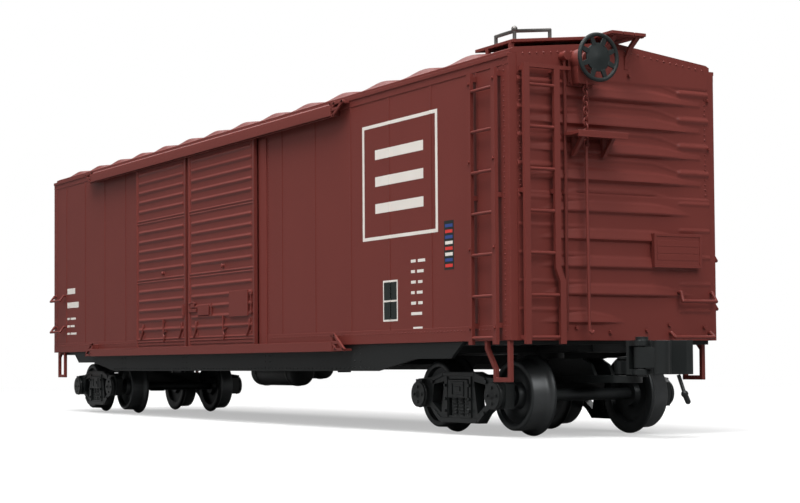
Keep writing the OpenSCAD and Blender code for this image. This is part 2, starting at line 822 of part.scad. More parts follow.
module axle_bar() {
    journal_l = frame_in + journal_depth - 0.3;
    rotate([90, 0, 0]) {
        cylinder(r = axle_r, h = back_to_back + 2 * wheel_w + 0.6, center = true);
        cylinder(r = journal_r, h = 2 * journal_l, center = true);
    }
}

// ---- couplers, drawn round their pivot at x = 0 ----

module coupler_body() {
    z1 = coupler_z0 + coupler_h;
    difference() {
        union() {
            // shank with its eye
            block([0, -2.4, shank_z0], [head_x + 1, 2.4, shank_z0 + shank_t]);
            translate([0, 0, shank_z0])
                cylinder(r = 2.7, h = shank_t);
            // head with the guard arm flaring out to +Y
            translate([0, 0, coupler_z0])
                linear_extrude(height = coupler_h)
                    polygon([[head_x - 2, -2.6], [head_x, -5], [knuckle_x - 3.4, -7.2],
                             [knuckle_x - 2.4, -7.2], [knuckle_x - 2.4, 1.2],
                             [knuckle_x + 0.2, 3.4], [knuckle_x + 3.2, 5.4],
                             [knuckle_x + 3.6, 7], [head_x, 6.4], [head_x - 2, 2.6]]);
            // lugs over and under the knuckle
            for (z = [coupler_z0, z1 - lug_t]) {
                translate([knuckle_x, knuckle_y, z])
                    cylinder(r = lug_r, h = lug_t);
                block([knuckle_x - 3, knuckle_y - lug_r + 0.2, z],
                      [knuckle_x, knuckle_y + lug_r, z + lug_t]);
            }
        }
        translate([0, 0, shank_z0 - 1])
            cylinder(r = pivot_r + 0.05, h = shank_t + 2);
    }
    // knuckle pin with its heads
    translate([knuckle_x, knuckle_y, coupler_z0 - 0.4])
        cylinder(r = knuckle_pin_r, h = coupler_h + 1);
    translate([knuckle_x, knuckle_y, z1 - e])
        cylinder(r = 1.5, h = 0.8);
    translate([knuckle_x, knuckle_y, coupler_z0 - 0.5])
        cylinder(r = 1.3, h = 0.5 + e);
}

module knuckle_body() {
    hub_z0 = coupler_z0 + lug_t + knuckle_clear;
    hub_h = coupler_h - 2 * (lug_t + knuckle_clear);
    nose = [4.6, 2];                         // nose centre, from the pin
    nose_r = 1.9;
    translate([knuckle_x, knuckle_y, 0])
        difference() {
            union() {
                translate([0, 0, hub_z0])
                    cylinder(r = 1.9, h = hub_h);
                translate([0, 0, hub_z0])
                    linear_extrude(height = hub_h)
                        polygon([[0, -1.9], [4.4, 0.1], [nose[0], nose[1] + 1.6],
                                 [2.6, 2.6], [0, 1.9]]);
                translate([nose[0], nose[1], coupler_z0 + 0.2]) {
                    cylinder(r = nose_r, h = coupler_h - 0.4);
                    translate([-0.6, 1.6, 0])
                        cylinder(r = 1.4, h = coupler_h - 0.4);
                }
            }
            translate([0, 0, hub_z0 - 1])
                cylinder(r = knuckle_pin_r + 0.08, h = hub_h + 2);
        }
}

// Uncoupling lever, shaped like an air hose, under the guard arm
module uncoupler_body() {
    top = [knuckle_x + 0.6, 5, coupler_z0 - 0.12];
    low = [knuckle_x + 1.2, 6.3, coupler_z0 - 4.6];
    bar(top, low, 0.9);
    translate(low)
        sphere(r = 0.85, $fn = 24);
    bar(low, low + [0.3, 0.7, -1.8], 1.3);
    translate(low + [0.3, 0.7, -1.8])
        sphere(r = 0.65, $fn = 24);
}

// Places a truck piece at the front (s = 1) or at the rear (s = -1)
module at_truck(s) {
    rotate([0, 0, s > 0 ? 0 : 180])
        translate([truck_x, 0, 0])
            children();
}

module at_axle(s, o) {
    at_truck(s)
        translate([o * wheel_base / 2, 0, axle_z])
            children();
}

module at_coupler(s) {
    at_truck(s)
        translate([coupler_reach, 0, 0])
            children();
}

module front_bolster() { color(black) at_truck(1) truck_bolster(); }
module front_right_sideframe() { color(black) at_truck(1) sideframe(); }
module front_left_sideframe() { color(black) at_truck(1) rotate([0, 0, 180]) sideframe(); }
module front_coupler_arm() { color(black) at_truck(1) coupler_arm(); }
module rear_bolster() { color(black) at_truck(-1) truck_bolster(); }
module rear_right_sideframe() { color(black) at_truck(-1) rotate([0, 0, 180]) sideframe(); }
module rear_left_sideframe() { color(black) at_truck(-1) sideframe(); }
module rear_coupler_arm() { color(black) at_truck(-1) coupler_arm(); }
module front_outer_axle() { color(steel) at_axle(1, 1) axle_bar(); }
module front_outer_wheels() { color(steel) at_axle(1, 1) wheel_pair(); }
module front_inner_axle() { color(steel) at_axle(1, -1) axle_bar(); }
module front_inner_wheels() { color(steel) at_axle(1, -1) wheel_pair(); }
module rear_outer_axle() { color(steel) at_axle(-1, 1) axle_bar(); }
module rear_outer_wheels() { color(steel) at_axle(-1, 1) wheel_pair(); }
module rear_inner_axle() { color(steel) at_axle(-1, -1) axle_bar(); }
module rear_inner_wheels() { color(steel) at_axle(-1, -1) wheel_pair(); }
module front_coupler() { color(black) at_coupler(1) coupler_body(); }
module front_knuckle() { color(black) at_coupler(1) knuckle_body(); }
module front_uncoupler() { color(black) at_coupler(1) uncoupler_body(); }
module rear_coupler() { color(black) at_coupler(-1) coupler_body(); }
module rear_knuckle() { color(black) at_coupler(-1) knuckle_body(); }
module rear_uncoupler() { color(black) at_coupler(-1) uncoupler_body(); }

right_side();
left_side();
brake_end();
plain_end();
roof();
floor_boards();  // floor
underframe();
right_sill();
left_sill();
running_board();
lateral_boards();
corner_handrails();
right_door_tracks();
left_door_tracks();
side_ladders();
end_ladders();
grab_irons();
sill_steps();
brake_wheel();
brake_housing();
brake_rigging();
brake_platform();
retainer_valve();
placard_boards();
brake_cylinder();
air_reservoir();
control_valve();
train_pipe();
right_main_door();
right_aux_door();
left_main_door();
left_aux_door();
front_bolster();
front_right_sideframe();
front_left_sideframe();
front_coupler_arm();
rear_bolster();
rear_right_sideframe();
rear_left_sideframe();
rear_coupler_arm();
front_outer_axle();
front_outer_wheels();
front_inner_axle();
front_inner_wheels();
rear_outer_axle();
rear_outer_wheels();
rear_inner_axle();
rear_inner_wheels();
front_coupler();
front_knuckle();
front_uncoupler();
rear_coupler();
rear_knuckle();
rear_uncoupler();
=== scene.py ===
# %% [markdown]
# # An O-scale boxcar, piece by piece
# This script dresses a finished CAD model of a boxcar. The CAD model is the frame: it says
# where every piece is and what moves. Each cell below makes one piece or one finish, and every
# piece is tied to the body that carries it, so doors still slide and wheels still turn.

# %% Load the frame
import math

import bmesh
import bpy
from mathutils import Matrix, Vector


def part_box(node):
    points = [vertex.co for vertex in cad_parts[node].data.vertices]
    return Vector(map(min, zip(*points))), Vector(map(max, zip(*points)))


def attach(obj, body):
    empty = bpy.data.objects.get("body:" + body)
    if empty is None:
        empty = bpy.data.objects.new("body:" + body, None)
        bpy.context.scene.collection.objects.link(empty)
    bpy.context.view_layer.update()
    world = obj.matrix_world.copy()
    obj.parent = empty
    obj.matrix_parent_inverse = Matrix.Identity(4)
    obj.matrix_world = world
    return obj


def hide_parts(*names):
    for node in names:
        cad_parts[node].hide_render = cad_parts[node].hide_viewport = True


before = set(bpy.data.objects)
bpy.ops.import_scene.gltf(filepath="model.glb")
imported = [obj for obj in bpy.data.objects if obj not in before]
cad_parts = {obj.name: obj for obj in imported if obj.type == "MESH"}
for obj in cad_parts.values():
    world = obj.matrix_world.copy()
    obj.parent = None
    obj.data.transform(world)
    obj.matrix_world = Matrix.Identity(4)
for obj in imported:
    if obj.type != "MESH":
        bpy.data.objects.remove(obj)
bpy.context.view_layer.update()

# %% [markdown]
# The drawing below is in millimetres, as the CAD is, and Blender works in metres. A few places
# are read from the frame once: the end of the body, its side, its sill and its eaves. Everything
# else is measured from those, the way a model maker works from the corner of a sheet.

# %% Places on the body
MM = 0.001


def corner(node):
    """The lowest and highest corner of a CAD node, in millimetres."""
    low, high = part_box(node)
    return low / MM, high / MM


sheet_low, sheet_high = corner("right_side")
END = sheet_high.x            # outside of an end sheet, from the middle of the car
SIDE = -sheet_low.y           # outside of a side sheet
SILL = sheet_low.z            # bottom edge of the sides
EAVE = sheet_high.z           # top edge of the sides
INNER = -sheet_high.y         # inside of a side sheet
print("end %.1f  side %.1f  sill %.1f  eave %.1f" % (END, SIDE, SILL, EAVE))

# %% [markdown]
# The camera stands low, off the brake end, so the car towers a little as a real one would. The
# lens is long. Its direction is given as the two angles a surveyor would note, plus a very small
# roll, and the matrix is built from them, because that keeps all three numbers readable.

# %% Camera
def camera_turn(azimuth, elevation, roll):
    """The rotation of a camera that looks back along those two angles, in degrees."""
    a, e, r = (math.radians(v) for v in (azimuth, elevation, roll))
    back = Vector((math.sin(a) * math.cos(e), -math.cos(a) * math.cos(e), math.sin(e)))
    right = Vector((0, 0, 1)).cross(back).normalized()
    up = back.cross(right)
    across = right * math.cos(r) + up * math.sin(r)
    upright = up * math.cos(r) - right * math.sin(r)
    return Matrix((across, upright, back)).transposed().to_4x4()


lens = bpy.data.cameras.new("car_camera")
lens.lens = 77.43
lens.sensor_width = 36
lens.shift_x = 0.0329
lens.shift_y = 0.0572
lens.clip_start = 0.01
camera = bpy.data.objects.new("car_camera", lens)
bpy.context.scene.collection.objects.link(camera)
camera.matrix_world = Matrix.Translation((0.4980, -0.25435, 0.01789)) @ camera_turn(
    60.81, -2.22, -0.37)
bpy.context.scene.camera = camera
bpy.context.scene.view_settings.view_transform = "Standard"
print("camera at", [round(v, 3) for v in camera.location])

# %% [markdown]
# One small function adds a shader node, sets what it is told and joins its links. Colours are
# written as the hex values a paint chart uses, and another function turns them into the linear
# numbers that light is reckoned in.

# %% Node and colour helpers
def add(tree, kind, inputs=None, **settings):
    """One node. A value in inputs is set on its socket, and a socket there is linked to it."""
    node = tree.nodes.new(kind)
    for name, value in settings.items():
        setattr(node, name, value)
    for name, value in (inputs or {}).items():
        socket = node.inputs[name]
        if isinstance(value, bpy.types.NodeSocket):
            tree.links.new(value, socket)
        else:
            socket.default_value = value
    return node


def linear(hex_colour):
    """A colour from a paint chart, as linear red, green, blue and alpha."""
    parts = [int(hex_colour[i:i + 2], 16) / 255 for i in (1, 3, 5)]
    return [v / 12.92 if v <= 0.04045 else ((v + 0.055) / 1.055) ** 2.4 for v in parts] + [1]


# %% [markdown]
# A sprayed or cast surface is never one colour. This recipe mixes a base colour with a slightly
# different tone in soft clouds, varies the gloss the same way, and raises a fine grain with a
# bump. The sizes are in millimetres: paint on a model shows clouds of about a centimetre and a
# grain of a few tenths, drawn a little coarser than life so that it shows at all.

# %% Surface recipe
def surface(name, base, tone, gloss, clouds_mm, grain_mm, bump_mm, metal=0.0, specular=0.5,
            gloss_spread=0.08):
    """A procedural finish. gloss is the roughness at its middle."""
    finish = bpy.data.materials.new(name)
    finish.use_nodes = True
    tree = finish.node_tree
    tree.nodes.clear()
    place = add(tree, "ShaderNodeTexCoord")
    clouds = add(tree, "ShaderNodeTexNoise", {"Vector": place.outputs["Object"],
                                             "Scale": 1000 / clouds_mm, "Detail": 4.0,
                                             "Roughness": 0.55})
    grain = add(tree, "ShaderNodeTexNoise", {"Vector": place.outputs["Object"],
                                            "Scale": 1000 / grain_mm, "Detail": 2.0})
    colour = add(tree, "ShaderNodeMix", {0: clouds.outputs["Fac"], 6: linear(base),
                                        7: linear(tone)}, data_type="RGBA")
    shine = add(tree, "ShaderNodeMapRange", {"Value": grain.outputs["Fac"],
                                            "To Min": gloss - gloss_spread,
                                            "To Max": gloss + gloss_spread})
    bump = add(tree, "ShaderNodeBump", {"Height": grain.outputs["Fac"], "Strength": 0.6,
                                       "Distance": bump_mm * MM})
    shader = add(tree, "ShaderNodeBsdfPrincipled", {
        "Base Color": colour.outputs[2], "Roughness": shine.outputs["Result"],
        "Normal": bump.outputs["Normal"], "Metallic": metal, "Specular IOR Level": specular})
    add(tree, "ShaderNodeOutputMaterial", {"Surface": shader.outputs["BSDF"]})
    return finish


# Oxide red lacquer, sprayed thin over moulded plastic: satin, with soft highlights on edges
red_lacquer = surface("oxide_red_lacquer", "#6a2f2a", "#70332d", 0.46, 14, 0.35, 0.012,
                      specular=0.25)
# Black lacquer on the frame: satin, a little uneven where the spray dried
frame_lacquer = surface("frame_black_lacquer", "#141616", "#1b1d1d", 0.5, 8, 0.4, 0.02,
                        specular=0.3)
# Zinc die casting, chemically blackened: deep black with a fine sandy grain
black_casting = surface("blackened_zinc_casting", "#171919", "#212424", 0.34, 5, 0.3, 0.02,
                        specular=0.35)
# Turned steel, blackened in oil: dark grey metal that catches soft light on the tread
wheel_steel = surface("oil_blackened_steel", "#2a2c2d", "#353839", 0.42, 6, 0.5, 0.01, metal=0.5)
# Handwheel: grey-green enamel, matt
handwheel_enamel = surface("grey_green_enamel", "#1c2121", "#242a2a", 0.55, 4, 0.3, 0.01,
                           specular=0.3)
# Bright drawn wire, dulled by handling
drawn_wire = surface("drawn_steel_wire", "#6d6a68", "#827f7c", 0.4, 4, 0.25, 0.004, metal=0.8)
# Pad-printed ink: white, flat and slightly warm
white_ink = surface("white_pad_ink", "#e9e4dd", "#dfd8d0", 0.55, 6, 0.3, 0.003)
black_ink = surface("black_pad_ink", "#1d2321", "#242a28", 0.5, 6, 0.3, 0.003, specular=0.3)
red_ink = surface("red_pad_ink", "#d8322c", "#cf3a33", 0.5, 6, 0.3, 0.003)
blue_ink = surface("blue_pad_ink", "#2b3f77", "#33488a", 0.5, 6, 0.3, 0.003)
print("finishes:", len(bpy.data.materials))

# %% [markdown]
# The wood of the floor needs its own recipe: long grain across the car, one tone for each plank.
# A noise texture stretched along the board gives the grain, and a second noise gives it knots of
# colour.

# %% Floor wood
def plank_wood(name, light, dark, width_mm):
    """Sawn pine, planks lying across the car."""
    finish = bpy.data.materials.new(name)
    finish.use_nodes = True
    tree = finish.node_tree
    tree.nodes.clear()
    place = add(tree, "ShaderNodeTexCoord")
    stretched = add(tree, "ShaderNodeMapping", {"Vector": place.outputs["Object"],
                                               "Scale": (1, 0.08, 1)})
    grain = add(tree, "ShaderNodeTexNoise", {"Vector": stretched.outputs["Vector"],
                                            "Scale": 1000 / 0.5, "Detail": 3.0})
    boards = add(tree, "ShaderNodeMapping", {"Vector": place.outputs["Object"],
                                            "Scale": (1, 0.02, 0)})
    tones = add(tree, "ShaderNodeTexNoise", {"Vector": boards.outputs["Vector"],
                                            "Scale": 1000 / width_mm, "Detail": 0.0})
    blend = add(tree, "ShaderNodeMath", {0: grain.outputs["Fac"], 1: tones.outputs["Fac"]},
                operation="MULTIPLY")
    spread = add(tree, "ShaderNodeMapRange", {"Value": blend.outputs["Value"], "From Min": 0.12,
                                             "From Max": 0.4})
    colour = add(tree, "ShaderNodeMix", {0: spread.outputs["Result"], 6: linear(dark),
                                        7: linear(light)}, data_type="RGBA")
    bump = add(tree, "ShaderNodeBump", {"Height": grain.outputs["Fac"], "Strength": 0.5,
                                       "Distance": 0.05 * MM})
    shader = add(tree, "ShaderNodeBsdfPrincipled", {
        "Base Color": colour.outputs[2], "Roughness": 0.75, "Normal": bump.outputs["Normal"]})
    add(tree, "ShaderNodeOutputMaterial", {"Surface": shader.outputs["BSDF"]})
    return finish


scribed_pine = plank_wood("scribed_pine", "#b0946c", "#8a6d4a", 3.2)
print("made", scribed_pine.name)

# %% [markdown]
# The studio is a pale floor under an even white surround, one strong soft lamp overhead and four
# weaker ones round the car. The floor fades to pure white with distance, like a paper sweep. The
# camera sees the surround as pure white. The light that falls on the car, and its mirror image
# in the lacquer, come from a dimmer version of the same surround, and the floor throws little
# light back, so the undersides of ribs and ledges stay dark.

# %% Studio
STUDIO_FILL = 0.24


def white_to_the_eye(tree, seen, unseen):
    """Mixes two shaders: one for rays from the camera, one for all other light."""
    ray = add(tree, "ShaderNodeLightPath")
    return add(tree, "ShaderNodeMixShader", {0: ray.outputs["Is Camera Ray"], 1: unseen, 2: seen})


world = bpy.data.worlds.new("studio")
bpy.context.scene.world = world
world.use_nodes = True
world.node_tree.nodes.clear()
bright = add(world.node_tree, "ShaderNodeBackground", {"Color": (1, 1, 1, 1), "Strength": 1.0})
dim = add(world.node_tree, "ShaderNodeBackground", {"Color": (1, 1, 1, 1),
                                                   "Strength": STUDIO_FILL})
shown = white_to_the_eye(world.node_tree, bright.outputs[0], dim.outputs[0])
add(world.node_tree, "ShaderNodeOutputWorld", {"Surface": shown.outputs[0]})


def soft_lamp(name, place, target, size, watts):
    """A square lamp that faces a point, both in metres."""
    light = bpy.data.lights.new(name, "AREA")
    light.shape = "SQUARE"
    light.size = size
    light.energy = watts
    lamp = bpy.data.objects.new(name, light)
    lamp.location = place
    lamp.rotation_euler = (Vector(place) - Vector(target)).to_track_quat("Z", "Y").to_euler()
    bpy.context.scene.collection.objects.link(lamp)


soft_lamp("overhead", (0.22, -0.34, 1.0), (0, 0, 0.05), 0.6, 14.5)
soft_lamp("back", (-0.2, 0.75, 1.25), (0, 0, 0.05), 0.7, 5.5)
soft_lamp("far_end", (-0.95, 0.0, 1.1), (-0.1, 0, 0.05), 0.6, 4.5)
soft_lamp("front_left", (0.1, -1.0, 0.75), (0, 0, 0.05), 0.8, 3.0)
soft_lamp("front_right", (1.0, -0.1, 0.75), (0.1, 0, 0.05), 0.7, 7.4)

paper = bpy.data.materials.new("backdrop_paper")
paper.use_nodes = True
paper.node_tree.nodes.clear()
matt = add(paper.node_tree, "ShaderNodeBsdfDiffuse", {"Color": (0.82, 0.82, 0.82, 1)})
glow = add(paper.node_tree, "ShaderNodeEmission", {"Color": (1, 1, 1, 1), "Strength": 1.0})
spot = add(paper.node_tree, "ShaderNodeTexCoord")
away = add(paper.node_tree, "ShaderNodeVectorMath", {0: spot.outputs["Object"]},
           operation="LENGTH")
sweep = add(paper.node_tree, "ShaderNodeMapRange", {"Value": away.outputs["Value"],
                                                   "From Min": 0.1, "From Max": 0.75,
                                                   "To Min": 0.45, "To Max": 1.0},
            interpolation_type="SMOOTHSTEP")
half = add(paper.node_tree, "ShaderNodeMixShader", {0: sweep.outputs["Result"],
                                                   1: matt.outputs[0], 2: glow.outputs[0]})
dull = add(paper.node_tree, "ShaderNodeBsdfDiffuse", {"Color": (0.2, 0.2, 0.2, 1)})
lit = white_to_the_eye(paper.node_tree, half.outputs[0], dull.outputs[0])
add(paper.node_tree, "ShaderNodeOutputMaterial", {"Surface": lit.outputs[0]})

floor_mesh = bpy.data.meshes.new("studio_floor")
floor_mesh.from_pydata([(-8, -8, 0), (8, -8, 0), (8, 8, 0), (-8, 8, 0)], [], [(0, 1, 2, 3)])
floor_mesh.materials.append(paper)
studio_floor = bpy.data.objects.new("studio_floor", floor_mesh)
bpy.context.scene.collection.objects.link(studio_floor)
print("studio ready")

# %% [markdown]
# Most pieces here are boxes, strips, bent wires and turned shapes. A small notebook of points and
# faces collects them in millimetres, and is turned into one Blender object at the end, with its
# finish and its body. A live Bevel rounds the edges, which is what makes a moulded piece catch the
# light.

# %% Shape notebook
class Shape:
    """Points and faces of one piece, in millimetres."""

    def __init__(self):
        self.points, self.faces, self.marks = [], [], []

    def add(self, points, faces, mark=0):
        start = len(self.points)
        self.points += [tuple(p) for p in points]
        self.faces += [[start + i for i in face] for face in faces]
        self.marks += [mark] * len(faces)

    def block(self, a, b, mark=0):
        """A box from corner a to corner b."""
        (x0, y0, z0), (x1, y1, z1) = a, b
        self.add([(x, y, z) for x in (x0, x1) for y in (y0, y1) for z in (z0, z1)],
                 [(0, 1, 3, 2), (4, 6, 7, 5), (0, 4, 5, 1), (2, 3, 7, 6), (0, 2, 6, 4),
                  (1, 5, 7, 3)], mark)

    def prism(self, outline, axis, start, end, mark=0):
        """An outline of (u, v) pushed along an axis; u and v are the other two, in order."""
        order = {"x": lambda u, v, w: (w, u, v), "y": lambda u, v, w: (u, w, v),
                 "z": lambda u, v, w: (u, v, w)}[axis]
        n = len(outline)
        points = [order(u, v, w) for w in (start, end) for u, v in outline]
        sides = [(i, (i + 1) % n, n + (i + 1) % n, n + i) for i in range(n)]
        self.add(points, sides + [tuple(range(n)), tuple(reversed(range(n, 2 * n)))], mark)

    def tube(self, path, thick, sides=12, mark=0, bend=0.0):
        """A round wire along a path. bend rounds its corners over that many millimetres."""
        path = soften([Vector(p) for p in path], bend) if bend else [Vector(p) for p in path]
        heading = (path[1] - path[0]).normalized()
        across = heading.orthogonal().normalized()
        rings = []
        for i, point in enumerate(path):
            before = (point - path[i - 1]).normalized() if i else heading
            after = (path[i + 1] - point).normalized() if i < len(path) - 1 else before
            turned = (before + after).normalized()
            across = heading.rotation_difference(turned) @ across
            heading = turned
            rings.append([point + Matrix.Rotation(math.tau * k / sides, 3, turned) @ across
                          * thick / 2 for k in range(sides)])
        last = len(rings) - 1
        faces = [(r * sides + k, r * sides + (k + 1) % sides, (r + 1) * sides + (k + 1) % sides,
                  (r + 1) * sides + k) for r in range(last) for k in range(sides)]
        faces += [tuple(reversed(range(sides))), tuple(range(last * sides, (last + 1) * sides))]
        self.add([p for ring in rings for p in ring], faces, mark)

    def turn(self, profile, centre, axis, sides=48, marks=None):
        """A profile of (radius, height) turned round an axis through centre."""
        way = {"x": lambda r, c, s, h: (h, r * c, r * s),
               "y": lambda r, c, s, h: (r * c, h, r * s),
               "z": lambda r, c, s, h: (r * c, r * s, h)}[axis]
        centre = Vector(centre)
        start, n = len(self.points), len(profile)
        for k in range(sides):
            c, s = math.cos(math.tau * k / sides), math.sin(math.tau * k / sides)
            self.points += [tuple(centre + Vector(way(r, c, s, h))) for r, h in profile]
        for k in range(sides):
            for i in range(n if profile[0][0] > 0.01 else n - 1):
                a, b = start + k * n, start + (k + 1) % sides * n
                j = (i + 1) % n
                self.faces.append([a + i, a + j, b + j, b + i])
                self.marks.append(marks[i] if marks else 0)

    def half_turned(self):
        """The same piece at the other end of the car: turned half round the middle."""
        other = Shape()
        other.points = [(-x, -y, z) for x, y, z in self.points]
        other.faces, other.marks = [list(f) for f in self.faces], list(self.marks)
        return other

    def both_ends(self):
        """This piece and its twin at the other end, together."""
        twin = self.half_turned()
        self.add(twin.points, twin.faces)
        self.marks[-len(twin.marks):] = twin.marks
        return self


def soften(path, reach):
    """Rounds the corners of a path of points."""
    out = [path[0]]
    for a, b, c in zip(path, path[1:], path[2:]):
        back = min(reach, (b - a).length * 0.45, (c - b).length * 0.45)
        start, end = b + (a - b).normalized() * back, b + (c - b).normalized() * back
        for k in range(7):
            t = k / 6
            out.append(start * (1 - t) ** 2 + b * 2 * t * (1 - t) + end * t ** 2)
    return out + [path[-1]]


def make_piece(name, shape, finishes, body, stands_for=(), bevel=0.0, sharp=35):
    """Turns a Shape into a finished piece that rides on a body."""
    mesh = bpy.data.meshes.new(name)
    mesh.from_pydata([tuple(c * MM for c in p) for p in shape.points], [], shape.faces)
    finishes = finishes if isinstance(finishes, (list, tuple)) else [finishes]
    for finish in finishes:
        mesh.materials.append(finish)
    mesh.polygons.foreach_set("material_index", shape.marks)
    piece = bpy.data.objects.new(name, mesh)
    bpy.context.scene.collection.objects.link(piece)
    print(name, "points:", len(shape.points), "faces:", len(shape.faces))
    return dress(piece, body, stands_for, bevel, sharp)


def tidy_mesh(mesh):
    """Drops collapsed faces and points every face outwards."""
    work = bmesh.new()
    work.from_mesh(mesh)
    bmesh.ops.dissolve_degenerate(work, dist=1e-7, edges=work.edges)
    bmesh.ops.recalc_face_normals(work, faces=work.faces)
    work.to_mesh(mesh)
    work.free()


def dress(piece, body, stands_for=(), bevel=0.0, sharp=35):
    """Cleans, smooths and bevels a piece, then ties it to its body."""
    tidy_mesh(piece.data)
    piece.data.shade_smooth()
    piece.data.set_sharp_from_angle(angle=math.radians(sharp))
    if bevel:
        edge = piece.modifiers.new("soft_edges", "BEVEL")
        edge.width = bevel * MM
        edge.segments = 2
        edge.limit_method = "ANGLE"
        edge.angle_limit = math.radians(40)
        edge.harden_normals = True
    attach(piece, body)
    if stands_for:
        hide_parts(*([stands_for] if isinstance(stands_for, str) else stands_for))
    return piece


# %% [markdown]
# Many CAD solids already have the right form and only lack the soft edge of a moulding. A copy is
# cleaned of its loose triangles, its flat faces are joined up again, and the same Bevel goes on.
# The copy stands for the CAD node, whose own mesh is never touched.

# %% Softened copies of CAD solids
def softened(node, finish, body, bevel=0.15):
    """A bevelled copy of a CAD node, in its place."""
    work = bmesh.new()
    work.from_mesh(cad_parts[node].data)
    bmesh.ops.remove_doubles(work, verts=work.verts, dist=2e-6)
    bmesh.ops.dissolve_limit(work, angle_limit=math.radians(1.5), verts=work.verts,
                             edges=work.edges)
    mesh = bpy.data.meshes.new(node + "_casting")
    work.to_mesh(mesh)
    work.free()
    mesh.materials.clear()
    mesh.materials.append(finish)
    piece = bpy.data.objects.new(mesh.name, mesh)
    bpy.context.scene.collection.objects.link(piece)
    print(piece.name, "faces:", len(mesh.polygons))
    return dress(piece, body, node, bevel)


def refinish(node, finish):
    """Keeps a CAD node's shape and gives it a procedural finish."""
    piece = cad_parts[node]
    piece.data.materials.clear()
    piece.data.materials.append(finish)


# %% [markdown]
# A pressed sheet, such as a ribbed end or a door, is a grid whose points stand out by a rule. The
# rule is an ordinary function of the place on the sheet, so a rib is one line of arithmetic. The
# grid can be close where the rule bends and wide where the sheet is flat.

# %% Pressed sheets
def pressed_sheet(us, vs, rise, place, back):
    """A closed sheet whose face stands out by rise(u, v) and whose back is flat."""
    shape = Shape()
    columns, rows = len(us), len(vs)
    shape.points = [place(u, v, rise(u, v)) for v in vs for u in us]
    faces = [(j * columns + i, j * columns + i + 1, (j + 1) * columns + i + 1,
              (j + 1) * columns + i) for j in range(rows - 1) for i in range(columns - 1)]
    rim = ([i for i in range(columns)]
           + [j * columns + columns - 1 for j in range(1, rows)]
           + [(rows - 1) * columns + i for i in reversed(range(columns - 1))]
           + [j * columns for j in reversed(range(1, rows - 1))])
    start = len(shape.points)
    for index in rim:
        u, v = us[index % columns], vs[index // columns]
        shape.points.append(place(u, v, back))
    n = len(rim)
    faces += [(rim[k], rim[(k + 1) % n], start + (k + 1) % n, start + k) for k in range(n)]
    faces.append(tuple(range(start, start + n)))
    shape.faces = [list(f) for f in faces]
    shape.marks = [0] * len(faces)
    return shape


def steps(start, end, gap):
    """Evenly spaced numbers from start to end, about that far apart."""
    count = max(1, round((end - start) / gap))
    return [start + (end - start) * i / count for i in range(count + 1)]


def ease(value, low, high):
    """0 below low, 1 above high, and a smooth S between them."""
    t = min(1.0, max(0.0, (value - low) / (high - low)))
    return t * t * (3 - 2 * t)


def bump(value, centre, half):
    """A rounded rise of height 1 at its centre and 0 from half away."""
    t = abs(value - centre) / half
    return 0.0 if t >= 1 else 0.5 + 0.5 * math.cos(math.pi * t)


print("helpers ready")

# %% [markdown]
# Rivets, bolts, lap strips and planks repeat, so they are made by Geometry Nodes. A bare mesh
# holds only the points, the tree puts one small solid on each, and the result is kept as a plain
# mesh. Inputs have names, and their values are set through the socket's identifier.

# %% Repeating things with Geometry Nodes
def new_tree(name, numbers):
    """An empty tree with a Geometry socket each way, a Finish, and named number inputs."""
    tree = bpy.data.node_groups.new(name, "GeometryNodeTree")
    tree.interface.new_socket("Geometry", in_out="INPUT", socket_type="NodeSocketGeometry")
    for label, kind in numbers:
        tree.interface.new_socket(label, in_out="INPUT", socket_type=kind)
    tree.interface.new_socket("Finish", in_out="INPUT", socket_type="NodeSocketMaterial")
    tree.interface.new_socket("Geometry", in_out="OUTPUT", socket_type="NodeSocketGeometry")
    return tree, add(tree, "NodeGroupInput")


def close_tree(tree, source, instances, smooth):
    """Realize Instances, shading, Set Material and the output, at the end of every tree."""
    real = add(tree, "GeometryNodeRealizeInstances", {"Geometry": instances})
    shaded = add(tree, "GeometryNodeSetShadeSmooth", {"Geometry": real.outputs[0],
                                                     "Shade Smooth": smooth})
    painted = add(tree, "GeometryNodeSetMaterial", {"Geometry": shaded.outputs[0],
                                                   "Material": source.outputs["Finish"]})
    add(tree, "NodeGroupOutput", {"Geometry": painted.outputs[0]})


def rivet_tree():
    """A low round head on every point."""
    tree, source = new_tree("rivet_heads", [("Radius", "NodeSocketFloat"),
                                            ("Turn", "NodeSocketVector"),
                                            ("Flatness", "NodeSocketFloat")])
    head = add(tree, "GeometryNodeMeshUVSphere", {"Segments": 8, "Rings": 5,
                                                 "Radius": source.outputs["Radius"]})
    flat = add(tree, "ShaderNodeCombineXYZ", {"X": 1.0, "Y": 1.0,
                                             "Z": source.outputs["Flatness"]})
    low = add(tree, "GeometryNodeTransform", {"Geometry": head.outputs["Mesh"],
                                             "Scale": flat.outputs[0]})
    placed = add(tree, "GeometryNodeInstanceOnPoints", {
        "Points": source.outputs["Geometry"], "Instance": low.outputs[0],
        "Rotation": source.outputs["Turn"]})
    close_tree(tree, source, placed.outputs[0], True)
    return tree


def strip_tree():
    """A plain bar of one size centred on every point."""
    tree, source = new_tree("lap_strips", [("Size", "NodeSocketVector")])
    bar = add(tree, "GeometryNodeMeshCube", {"Size": source.outputs["Size"]})
    placed = add(tree, "GeometryNodeInstanceOnPoints", {
        "Points": source.outputs["Geometry"], "Instance": bar.outputs["Mesh"]})
    close_tree(tree, source, placed.outputs[0], False)
    return tree


